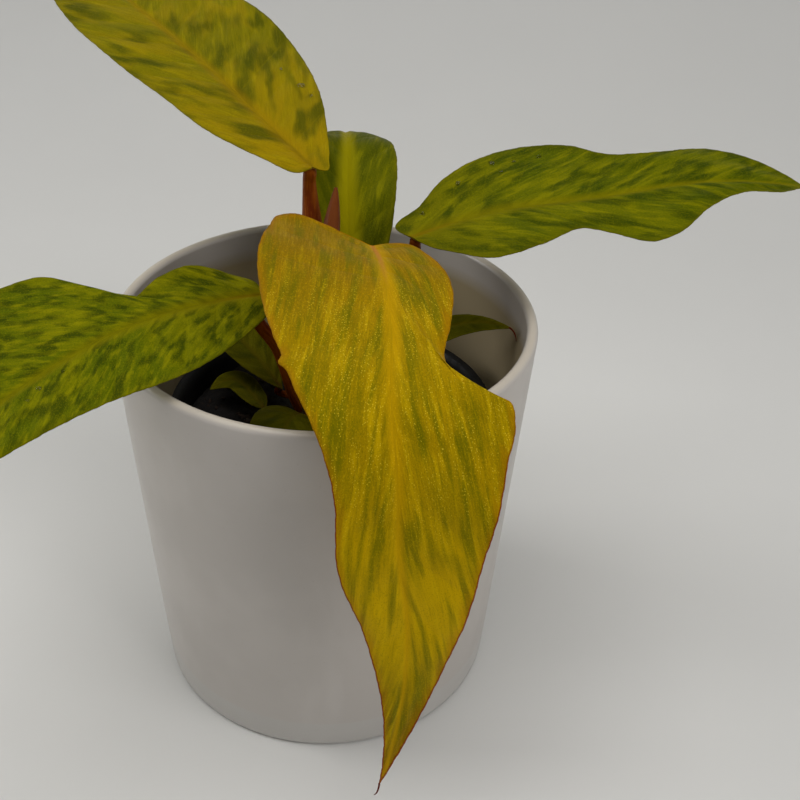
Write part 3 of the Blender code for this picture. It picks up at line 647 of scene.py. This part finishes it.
def ripple(leaf, t, v, side):
    """Gentle lengthwise and crosswise unevenness of a blade, in millimetres."""
    seed = leaf["seed"] + side
    slow = np.sin(7 * t + 3 * v + seed) * np.sin(5 * t * (1 + v) + 2.3 * seed)
    quick = np.sin(23 * t - 5 * v + 1.7 * seed) * np.sin(11 * t + 9 * v + seed)
    ends = np.clip(8 * (1 - t), 0, 1) * np.clip(8 * t, 0, 1)
    return leaf_size(leaf) ** 2 * ends * v * (SLOW_RIPPLE * slow + QUICK_RIPPLE * quick)


def uneven(s, leaf, side):
    """A margin is never smooth: small steps in it and, on some leaves, one blunt tooth."""
    seed = leaf["seed"] + 2 * side
    steps = 0.1 * np.sin(1.1 * s + seed) * np.sin(0.37 * s + 2 * seed) + 0.03 * np.sin(3.1 * s + seed)
    place, height = leaf.get("tooth", (0, 0)) if side < 0 else (0, 0)
    return steps + height * np.exp(-((s - place) / 1.4) ** 2)


def fine_half(frames, leaf, side):
    """One half of a blade: upper points, under points and what its material needs at each."""
    size = leaf_size(leaf)
    length = frames[0][-1]
    outline = [(*corner, 0)[:3] for corner in leaf["left" if side > 0 else "right"]]
    corners = np.array([(0, 0, 0)] + outline + [(1, 0, 0)], float) * (length, 1, 1)
    knots = distances(corners[:, :2])
    share = np.linspace(0, 1, leaf["rows"] + 1)
    margin = through(knots / knots[-1], corners, share)
    margin[:, 1] += size * uneven(margin[:, 0], leaf, side)
    widest = max(corner[1] for corner in outline)
    t = share[:, None]
    v = blade_columns(30 if size == 1 else 14)[None, :]
    s = length * t ** VEIN_SWEEP * (1 - v) + margin[:, :1] * v
    half_width = np.maximum(margin[:, 1:2], 0)
    out = half_width * v
    point, direction, normal = frames_at(frames, s)
    sideways = np.cross(normal, direction) * side

    body = np.clip(half_width / (0.35 * widest), 0, 1)
    groove = -GROOVE_DEPTH * size * body * np.exp(-(out / (0.9 * size + 0.3)) ** 2)
    phase = (leaf["veins"] * t + 0.25 * side) % 1
    near = np.minimum(phase, 1 - phase)
    spacing = length / leaf["veins"]
    line = np.exp(-(near * spacing / (0.5 * size + 0.15)) ** 2) * np.clip(10 * v, 0, 1)
    line = line * np.clip((1.02 - v) * 6, 0, 1) * body
    pillow = np.sin(np.pi * phase) ** 2 * 4 * v * (1 - v)
    relief = groove + size * (PILLOW_RISE * pillow - VEIN_DENT * line) * body + ripple(leaf, t, v, side)
    rise = margin[:, 2:3] * v ** 2 + relief
    top = point + out[..., None] * sideways + rise[..., None] * normal

    edge = half_width * (1 - v)
    plump = LEAF_THICKNESS * (0.3 + 0.55 * (1 - np.exp(-edge / 1.2)))
    keel = KEEL * size * (1 - 0.9 * t) * np.exp(-(out / (1.3 * size + 0.2)) ** 2)
    depth = plump + (keel + VEIN_BELOW * size * line) * body
    under = top - depth[..., None] * normal

    angle = radians(leaf["streaks"])
    first = length * (0.25 * t + 0.75 * s / length)
    across = first * cos(angle) - out * sin(angle)
    lengthwise = first * sin(angle) + out * cos(angle)
    seed = np.full_like(across, leaf["seed"] + 3.1 * side)
    values = {
        "streak": np.stack([across, lengthwise, seed], -1),
        "out": out * side,
        "share": s / length,
        "edge": edge,
        "vein": line,
    }
    return top, under, values


def build_blade(name, leaf, top_look, under_look):
    """A thin closed blade: both sides as one grid each, joined round the margin."""
    frames = midrib_frames(leaf)
    left = fine_half(frames, leaf, 1)
    right = fine_half(frames, leaf, -1)

    def joined(first, second):
        return np.concatenate([first[:, ::-1], second[:, 1:]], axis=1)

    def flat(grid):
        """One grid as a list of points, with a single point at the notch and at the tip."""
        middle = grid.shape[1] // 2
        inner = grid[1:-1].reshape(-1, *grid.shape[2:])
        return np.concatenate([grid[:1, middle], inner, grid[-1:, middle]])

    top = joined(left[0], right[0])
    under = joined(left[1], right[1])
    rows, columns = top.shape[:2]
    inner = (rows - 2) * columns
    ids = np.empty((rows, columns), int)
    ids[0] = 0
    ids[1:-1] = 1 + np.arange(inner).reshape(rows - 2, columns)
    ids[-1] = 1 + inner
    low = ids + inner + 2
    faces = []
    slots = []

    def put(face, slot_number):
        if len(trimmed(face)) >= 3:
            faces.append(trimmed(face))
            slots.append(slot_number)

    for r in range(rows - 1):
        for c in range(columns - 1):
            put([ids[r, c], ids[r, c + 1], ids[r + 1, c + 1], ids[r + 1, c]], 0)
            put([low[r, c], low[r + 1, c], low[r + 1, c + 1], low[r, c + 1]], 1)
        put([ids[r, 0], ids[r + 1, 0], low[r + 1, 0], low[r, 0]], 0)
        last = columns - 1
        put([low[r, last], low[r + 1, last], ids[r + 1, last], ids[r, last]], 0)
    values = {}
    for key in left[2]:
        one_side = flat(joined(left[2][key], right[2][key]))
        values[key] = np.concatenate([one_side, one_side])
    vertices = np.concatenate([flat(top), flat(under)])
    item = mesh_object("blade_" + name, vertices, faces, [top_look, under_look], slots, values)
    if "drops" in leaf:
        build_drops(name, leaf, {1: left[0], -1: right[0]})
    finish_piece(item, leaf["look"], "leaf_" + name)


def ring_faces(first, rings, count):
    """Quads between rings of points, which are numbered one ring after another from first."""
    faces = []
    for r in range(rings - 1):
        for n in range(count):
            a = first + r * count + n
            b = first + r * count + (n + 1) % count
            faces.append([a, b, b + count, a + count])
    return faces


def build_drops(name, leaf, tops):
    """Small water drops on a blade, each a low dome sunk a little into it."""
    rings = 6
    sides = 20
    vertices = []
    faces = []
    for side, along, across, radius in leaf["drops"]:
        top = tops[side]
        row = int(along * (top.shape[0] - 1))
        column = int(across * (top.shape[1] - 1))
        centre = top[row, column]
        first = unit(top[row + 2, column] - centre)
        normal = unit(np.cross(first, top[row, column - 1] - centre)) * side
        second = np.cross(normal, first)
        start = len(vertices)
        for k in range(rings):
            lean = 0.5 * pi * k / rings
            for n in range(sides):
                turn = 2 * pi * n / sides
                reach = radius * cos(lean) * (1 + 0.12 * sin(2 * turn + along * 40))
                spot = centre + reach * (cos(turn) * first + 0.8 * sin(turn) * second)
                vertices.append(spot + (DROP_HEIGHT * radius * sin(lean) - DROP_SINK) * normal)
        vertices.append(centre + (DROP_HEIGHT * radius - DROP_SINK) * normal)
        faces += ring_faces(start, rings, sides)
        last = start + (rings - 1) * sides
        for n in range(sides):
            faces.append([last + n, last + (n + 1) % sides, len(vertices) - 1])
        faces.append([start + n for n in range(sides)][::-1])
    item = mesh_object("drops_" + name, vertices, faces, [WATER])
    finish_piece(item, leaf["look"])


def tube_object(name, path, radii, looks, sides=20, steps=60, shape=None, extra=None):
    """A closed tube through a path. shape(share, turn) scales its radius round and along it."""
    path = np.asarray(path, float)
    knots = distances(path)
    at = np.linspace(0, knots[-1], steps + 1)
    line = through(knots, path, at)
    sizes = through(knots, np.asarray(radii, float)[:, None], at)[:, 0]
    ahead = unit(np.gradient(line, at, axis=0))
    across = unit(np.cross(ahead[0], (0, 1, 0.1)))
    rings = []
    grain = []
    share = []
    for k, (point, direction, size) in enumerate(zip(line, ahead, sizes)):
        across = squared(across, direction)
        upward = np.cross(direction, across)
        for n in range(sides):
            turn = 2 * pi * n / sides
            reach = size * (shape(at[k] / at[-1], turn) if shape else 1)
            rings.append(point + reach * (cos(turn) * across + sin(turn) * upward))
            grain.append((size * cos(turn), size * sin(turn), at[k]))
            share.append(at[k] / at[-1])
    faces = ring_faces(0, steps + 1, sides)
    faces.append(list(range(sides))[::-1])
    faces.append([steps * sides + n for n in range(sides)])
    values = {"grain": grain, "share": share}
    for key, rule in (extra or {}).items():
        values[key] = [rule(x) for x in share]
    return mesh_object(name, rings, faces, looks, None, values)


def build_petiole(name, leaf, look):
    """From inside the stem to the blade, running on under the first stretch of the midrib."""
    frames = midrib_frames(leaf)
    size = leaf_size(leaf)
    point, _, normal = frames_at(frames, np.array([BASE_STEP]))
    end = point[0] - normal[0] * (LEAF_THICKNESS + KEEL * size + BLADE_GAP)
    knee = end - normal[0] * KNEE * size
    path = [tuple(p) for p in leaf["petiole"]] + [knee, end]
    blade_radius = leaf["radii"][-1]
    radii = list(leaf["radii"][:-1]) + [blade_radius] * 2
    for step, depth, radius in PETIOLE_RUN:
        point, _, normal = frames_at(frames, np.array([step * size]))
        path.append(point[0] - normal[0] * (depth * size + 0.35))
        radii.append(blade_radius * radius)
    sheath = 0.28 if size == 1 else 0.1

    def shape(along, turn):
        """Wider where it clasps the stem, with a shallow channel along one side."""
        clasp = 1 + sheath * exp(-(along / 0.16) ** 2)
        channel = 1 - 0.1 * exp(-((turn - pi / 2) / 0.45) ** 2)
        return clasp * channel * (1 + 0.015 * sin(9 * turn))

    steps = 90 if size == 1 else 40
    item = tube_object("stalk_" + name, path, radii, [look], 24, steps, shape)
    finish_piece(item, "petiole", "petiole_" + name)


def build_tip_threads(look):
    """The dry threads that two blades end in."""
    threads = {
        "front": [(22.2, -97.8, 36.2), (22, -98.1, 34.2), (21.5, -98.4, 32.6), (20.8, -98.3, 31.6)],
        "inner_right": [(57.2, 6.6, 126.9), (58.4, 5.4, 126.4), (59.2, 4.5, 125.2), (59.5, 3.7, 123.6)],
    }
    for name, path in threads.items():
        item = tube_object("thread_" + name, path, [0.3, 0.26, 0.2, 0.08], [look], 10, 16)
        finish_piece(item, LEAVES[name]["look"])


def build_new_leaf(look):
    """The rolled new leaf in its sheath: a keel on each side and an overlapping edge."""
    def shape(along, turn):
        keels = 0.1 * sum(exp(-((turn - place) / 0.25) ** 2) for place in (1.2, 4.3))
        seam = (turn + 2.2 * along + 0.6) % (2 * pi)
        lap = 0.12 * max(0, 1 - seam / 1.6)
        return 1 + keels + lap * sin(pi * min(1, along * 1.2))

    item = tube_object("new_leaf_roll", NEW_LEAF, NEW_LEAF_RADII, [look], 48, 90, shape)
    finish_piece(item, "new_leaf", "new_leaf")


def build_stem(look):
    """The short stem, swollen at each node, with a ring-shaped scar above each swelling."""
    nodes = (0.18, 0.4, 0.6, 0.78, 0.92)

    def shape(along, turn):
        swell = sum(exp(-((along - n) / 0.05) ** 2) for n in nodes)
        dip = sum(exp(-((along - n - 0.055) / 0.018) ** 2) for n in nodes)
        return 0.93 + 0.07 * swell - 0.05 * dip + 0.02 * sin(5 * turn + 9 * along)

    def scar(along):
        return min(1, sum(exp(-((along - n - 0.055) / 0.022) ** 2) for n in nodes))

    path = [(*CROWN, SOIL_TOP - STEM_BURIED), (*CROWN, SOIL_TOP + STEM_RISE - 0.3)]
    item = tube_object("stem_bark", path, [STEM_RADIUS, STEM_RADIUS * 0.82], [look], 40, 120, shape,
                       {"scar": scar})
    finish_piece(item, "stem", "stem")


def turned_object(name, profile, centre, segments, looks, wobble=None, values=None):
    """A solid of revolution. The profile runs round the section, axis points having radius 0."""
    vertices = []
    rings = []
    columns = {key: [] for key in (values or {})}
    for number, (radius, z) in enumerate(profile):
        count = 1 if radius < 1e-6 else segments
        start = len(vertices)
        rings.append([start + (k if count > 1 else 0) for k in range(segments)])
        for k in range(count):
            turn = 2 * pi * k / segments
            reach = radius + (wobble(radius, z, turn) if wobble else 0)
            vertices.append((centre[0] + reach * cos(turn), centre[1] + reach * sin(turn), z))
            for key, rule in (values or {}).items():
                columns[key].append(rule(number, radius, z))
    faces = []
    for ring, following in zip(rings, rings[1:] + rings[:1]):
        for k in range(segments):
            n = (k + 1) % segments
            face = trimmed([ring[k], ring[n], following[n], following[k]])
            if len(face) >= 3:
                faces.append(face)
    return mesh_object(name, vertices, faces, looks, None, columns)


def arc(centre, radius, start, stop, steps):
    """Points of an arc in a profile; angles in degrees, anticlockwise from +radius."""
    turns = np.radians(np.linspace(start, stop, steps + 1))
    return [(centre[0] + radius * cos(t), centre[1] + radius * sin(t)) for t in turns]


def line_points(start, stop, count):
    """Points strictly between two profile points."""
    (r, z), (r_stop, z_stop) = start, stop
    return [(r + (r_stop - r) * k / count, z + (z_stop - z) * k / count) for k in range(1, count)]


def outer_radius(z):
    return POT_FOOT_RADIUS + POT_TAPER * z / POT_HEIGHT


def build_cover_pot(look):
    """The glazed pot: full round lip, a faint line above the foot, and a bare ring to stand on."""
    lip = POT_WALL / 2
    foot_round = 2.5
    floor_round = 6
    step = 0.12
    inner_foot = outer_radius(POT_FLOOR) - POT_WALL
    foot = POT_FOOT_RADIUS
    groove = ((13, 0), (12.4, 0.7), (12, 1), (8, 1), (7.6, 0.7), (7, 0))
    under = [(0, 0)] + [(foot - inwards, z) for inwards, z in groove]
    outside = arc((foot - foot_round, foot_round), foot_round, -90, 0, 10)
    band = [(outer_radius(FOOT_BAND) - step, FOOT_BAND - 0.6), (outer_radius(FOOT_BAND), FOOT_BAND + 0.4)]
    over = arc((POT_RIM_RADIUS - lip, POT_HEIGHT - lip), lip, 0, 180, 20)
    wall = line_points(band[1], over[0], 24)
    inside = arc((inner_foot - floor_round, POT_FLOOR + floor_round), floor_round, 0, -90, 10)
    inner_wall = line_points(over[-1], inside[0], 24)
    profile = under + outside + band + wall + over + inner_wall + inside + [(0, POT_FLOOR)]
    under_count = len(under) + 3
    inside_from = len(under + outside + band + wall + over)

    def wobble(radius, z, turn):
        """Cast ware is never quite round: a tenth of a millimetre, fading at the foot."""
        return 0.1 * sin(2 * turn + 0.7) * min(1, z / 40)

    values = {
        "height": lambda number, radius, z: z,
        "bare": lambda number, radius, z: 1 if number < under_count and z < 0.5 else 0,
        # The inside mask marks the inner wall, where the glaze look paints shade and leaf reflection.
        "inside": lambda number, radius, z: 1 if number > inside_from else 0,
    }
    item = turned_object("glazed_pot", profile, (0, 0), 256, [look], wobble, values)
    finish_piece(item, "white_glaze", "cover_pot")


def build_nursery_pot(look):
    """The thin grower's pot: rolled rim, ribs on the wall, a raised floor with drain holes."""
    top = NURSERY_RIM_TOP
    rim = NURSERY_RIM_RADIUS
    body = rim - 1.6
    foot = NURSERY_FOOT_RADIUS
    low = NURSERY_BOTTOM
    floor = low + 2
    inside_floor = floor + NURSERY_WALL
    wall_out = line_points((foot, low + 1), (body, top - 5), 24)
    below_rim = (body - NURSERY_WALL - 0.3, top - 5)
    inner_corner = (foot - NURSERY_WALL, inside_floor)
    profile = [(0, floor), (foot - 8, floor), (foot - 6, low), (foot - 1, low), (foot - 0.3, low + 0.3),
               (foot, low + 1)]
    profile += wall_out + [(body, top - 5), (body + 0.5, top - 5), (rim - 0.3, top - 4.8),
                           (rim, top - 4.3)]
    profile += arc((rim - 0.7, top - 0.7), 0.7, 0, 90, 6)
    profile += [(rim - 1.4, top), (body - NURSERY_WALL, top - 0.3), below_rim]
    profile += line_points(below_rim, inner_corner, 24) + [inner_corner, (0, inside_floor)]

    def wobble(radius, z, turn):
        """Shallow ribs on the outside wall, between the foot and the rim."""
        if radius < foot - 0.5 or z > top - 8 or z < low + 6:
            return 0
        on_outside = radius > foot - 0.6 + (body - foot) * (z - low) / (top - 5 - low)
        return -0.35 * max(0, cos(RIBS * turn)) ** 6 if on_outside else 0

    item = turned_object("grower_pot", profile, NURSERY_CENTRE, 192, [look], wobble)
    cutters = []
    for k in range(DRAIN_HOLES):
        turn = 2 * pi * k / DRAIN_HOLES
        x = NURSERY_CENTRE[0] + foot * 0.62 * cos(turn)
        y = NURSERY_CENTRE[1] + foot * 0.62 * sin(turn)
        path = [(x, y, low - 1), (x, y, low + 6)]
        cutter = tube_object("drill_%d" % k, path, [DRAIN_RADIUS, DRAIN_RADIUS], [], 28, 1)
        cut = item.modifiers.new("hole_%d" % k, "BOOLEAN")
        cut.object = cutter
        cut.operation = "DIFFERENCE"
        cut.solver = "EXACT"
        cutters.append(cutter)
    apply_modifiers(item)
    for cutter in cutters:
        bpy.data.objects.remove(cutter)
    finish_piece(item, "black_plastic", "nursery_pot")


def apply_modifiers(item):
    """The evaluated mesh takes the place of the mesh and its modifiers."""
    bpy.context.view_layer.update()
    evaluated = item.evaluated_get(bpy.context.evaluated_depsgraph_get())
    mesh = bpy.data.meshes.new_from_object(evaluated)
    item.modifiers.clear()
    item.data = mesh


def soil_level(x, y, radius):
    """The uneven top of the potting mix, at x and y from the pot's centre."""
    slow = sin(0.31 * x + 0.17 * y) * cos(0.23 * y - 0.12 * x + 1)
    quick = sin(1.1 * x + 0.4 * y) * sin(0.9 * y - 0.5 * x + 2)
    return SOIL_TOP + (0.55 * slow + 0.3 * quick) - SOIL_DISH * (radius / SOIL_EDGE) ** 4


def build_soil(look, chip_looks):
    """The potting mix with its crumbly top, and loose bark, fibre and perlite lying on it."""
    low = NURSERY_BOTTOM + 2 + NURSERY_WALL + 0.3
    low_radius = NURSERY_FOOT_RADIUS - NURSERY_WALL - 0.4
    segments = 120
    rings = [(low_radius, low)] + [(SOIL_EDGE * (1 - 0.025 * k), None) for k in range(40)]
    vertices = [(*NURSERY_CENTRE, low)]
    for radius, z in rings:
        for k in range(segments):
            turn = 2 * pi * k / segments
            x = radius * cos(turn)
            y = radius * sin(turn)
            height = soil_level(x, y, radius) if z is None else z
            vertices.append((NURSERY_CENTRE[0] + x, NURSERY_CENTRE[1] + y, height))
    vertices.append((*NURSERY_CENTRE, SOIL_TOP))
    faces = ring_faces(1, len(rings), segments)
    last = 1 + (len(rings) - 1) * segments
    for k in range(segments):
        n = (k + 1) % segments
        faces.append([0, 1 + n, 1 + k])
        faces.append([last + k, last + n, len(vertices) - 1])
    item = mesh_object("potting_mix_top", vertices, faces, [look])
    finish_piece(item, "potting_mix", "potting_mix")

    rng = random.Random(4)
    batches = (("bark_chips", 420, (0.7, 2.6), 0.55), ("fibre_bits", 260, (0.4, 1.3), 0.25),
               ("perlite_grains", 26, (0.5, 1.1), 0.9))
    for (name, count, sizes, flatness), chip_look in zip(batches, chip_looks):
        points, faces = scattered(rng, count, sizes, flatness)
        chips = mesh_object(name, points, faces, [chip_look])
        finish_piece(chips, "potting_mix")


def scattered(rng, count, sizes, flatness):
    """Small angular grains lying on the potting mix, clear of the stem, as one mesh."""
    shape_points = [(1, 0, 0), (-1, 0, 0), (0, 1, 0), (0, -1, 0), (0, 0, 1), (0, 0, -1)]
    sides = ((0, 2, 4), (2, 1, 4), (1, 3, 4), (3, 0, 4), (2, 0, 5), (1, 2, 5), (3, 1, 5), (0, 3, 5))
    middle = {}
    shape_faces = []

    def halfway(a, b):
        key = (min(a, b), max(a, b))
        if key not in middle:
            point = unit(np.array(shape_points[a]) + np.array(shape_points[b]))
            middle[key] = len(shape_points)
            shape_points.append(tuple(point))
        return middle[key]

    for a, b, c in sides:
        ab, bc, ca = halfway(a, b), halfway(b, c), halfway(c, a)
        shape_faces += [(a, ab, ca), (ab, b, bc), (ca, bc, c), (ab, bc, ca)]
    shape = np.array(shape_points, float)
    points = []
    faces = []
    for _ in range(count):
        radius = (SOIL_EDGE - 2) * sqrt(rng.random())
        turn = rng.uniform(0, 2 * pi)
        x = radius * cos(turn)
        y = radius * sin(turn)
        size = rng.uniform(*sizes) * rng.uniform(0.6, 1)
        spin = rng.uniform(0, 2 * pi)
        tilt = rng.uniform(-0.5, 0.5)
        stretch = np.array([1, rng.uniform(0.35, 0.8), rng.uniform(0.5, 1) * flatness])
        lumps = np.array([rng.uniform(0.75, 1.15) for _ in shape])
        grain = shape * lumps[:, None] * stretch * size
        turned = Matrix.Rotation(spin, 3, "Z") @ Matrix.Rotation(tilt, 3, "Y")
        grain = grain @ np.array(turned).T
        rest = soil_level(x, y, radius) + 0.25 * size * flatness
        x += NURSERY_CENTRE[0]
        y += NURSERY_CENTRE[1]
        if hypot(x - CROWN[0], y - CROWN[1]) < STEM_RADIUS + 2.5:
            continue
        first = len(points)
        points += (grain + (x, y, rest)).tolist()
        faces += [[first + a, first + b, first + c] for a, b, c in shape_faces]
    return points, faces


# ---------------- stage and light

def build_stage():
    """A pale paper sweep: level under the pot and curving up behind it, nearer on the right."""
    bend_start = 300
    bend = 1100
    wall_top = 2600
    half = 4000
    turned = radians(12)
    section = [(ahead, 0) for ahead in (-half, -1500, -500, 0)]
    section += arc((bend_start, bend), bend, -90, 0, 32) + [(bend_start + bend, wall_top)]
    vertices = []
    for ahead, z in section:
        for side in (-half, half):
            x = side * cos(turned) + ahead * sin(turned)
            y = ahead * cos(turned) - side * sin(turned)
            vertices.append((x, y, z))
    faces = [[2 * k, 2 * k + 1, 2 * k + 3, 2 * k + 2] for k in range(len(section) - 1)]
    sweep = mesh_object("paper_sweep", vertices, faces, [floor_look()])


# Each light's place, aim and size in metres, its power in watts and its colour.
LIGHTS = {
    "overhead": ((-0.05, -0.08, 0.9), (0, 0, 0.05), (0.7, 0.7), 4.5, (1, 0.985, 0.96)),
    "left_window": ((-1.1, 0.12, 0.62), (0, 0, 0.08), (0.5, 0.5), 4.2, (1, 0.99, 0.97)),
    "right_front": ((1, -0.7, 0.8), (0, 0, 0.08), (0.8, 0.6), 5.5, (1, 0.985, 0.97)),
}
WORLD_STRENGTH = (("From Min", 0.2), ("From Max", 0.75), ("To Min", 0.42), ("To Max", 0.05))


def area_light(name, place, target, size, watts, colour):
    data = bpy.data.lights.new(name, "AREA")
    data.shape = "RECTANGLE"
    data.size, data.size_y = size
    data.energy = watts
    data.color = colour
    back = unit(np.array(place, float) - np.array(target, float))
    right = unit(np.cross((0, 0, 1), back)) if abs(back[2]) < 0.99 else np.array([1, 0, 0])
    placed(name, data, right, np.cross(back, right), back, place)


def build_lights():
    """Three soft lights, and a faint world that is brightest round the horizon."""
    scene = bpy.context.scene
    scene.view_settings.view_transform = "Standard"
    world = bpy.data.worlds.new("studio")
    scene.world = world
    world.use_nodes = True
    tree = world.node_tree
    shade = tree.nodes["Background"]
    place = tree.nodes.new("ShaderNodeTexCoord")
    parts = tree.nodes.new("ShaderNodeSeparateXYZ")
    ramp = tree.nodes.new("ShaderNodeMapRange")
    ramp.interpolation_type = "SMOOTHSTEP"
    tree.links.new(place.outputs["Generated"], parts.inputs["Vector"])
    tree.links.new(parts.outputs["Z"], ramp.inputs["Value"])
    for key, value in WORLD_STRENGTH:
        ramp.inputs[key].default_value = value
    tree.links.new(ramp.outputs["Result"], shade.inputs["Strength"])
    shade.inputs["Color"].default_value = srgb(236, 236, 234)
    for name, settings in LIGHTS.items():
        area_light(name, *settings)


# ---------------- everything

def build_plant():
    petiole_skin = petiole_look()
    under_golden = blade_under_look("golden_underside", (176, 142, 60), (140, 122, 46), (178, 104, 40),
                                    (124, 40, 18))
    under_olive = blade_under_look("olive_underside", (142, 140, 62), (104, 112, 44), (164, 128, 50),
                                   (112, 84, 30))
    inner_top = blade_top_look("inner_upper", INNER)
    for name, leaf in LEAVES.items():
        grown = name in TOP_TONES
        top = blade_top_look(name + "_upper", TOP_TONES[name]) if grown else inner_top
        build_blade(name, leaf, top, under_golden if name == "front" else under_olive)
        build_petiole(name, leaf, petiole_skin)
    build_new_leaf(sheath_look("new_leaf_skin", (100, 48, 16), (74, 28, 8), 0.2, (0.5, 0.38)))
    build_stem(stem_look())
    build_tip_threads(sheath_look("dry_thread", (96, 30, 12), (60, 16, 8), 0.3, (0.8, 0.6)))


def build_pots():
    build_cover_pot(glaze_look())
    build_nursery_pot(plastic_look())
    chips = [soil_look("bark", (24, 17, 12), (48, 33, 22), 0.75),
             soil_look("fibre", (20, 16, 12), (40, 30, 21), 0.8),
             soil_look("perlite", (84, 80, 74), (112, 108, 100), 0.9)]
    build_soil(soil_look("damp_peat", (9, 7, 6), (20, 16, 13), 0.7), chips)
    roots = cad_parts["roots"]
    roots.data.materials.clear()
    roots.data.materials.append(root_look())


build_stage()
build_lights()
build_pots()
build_plant()
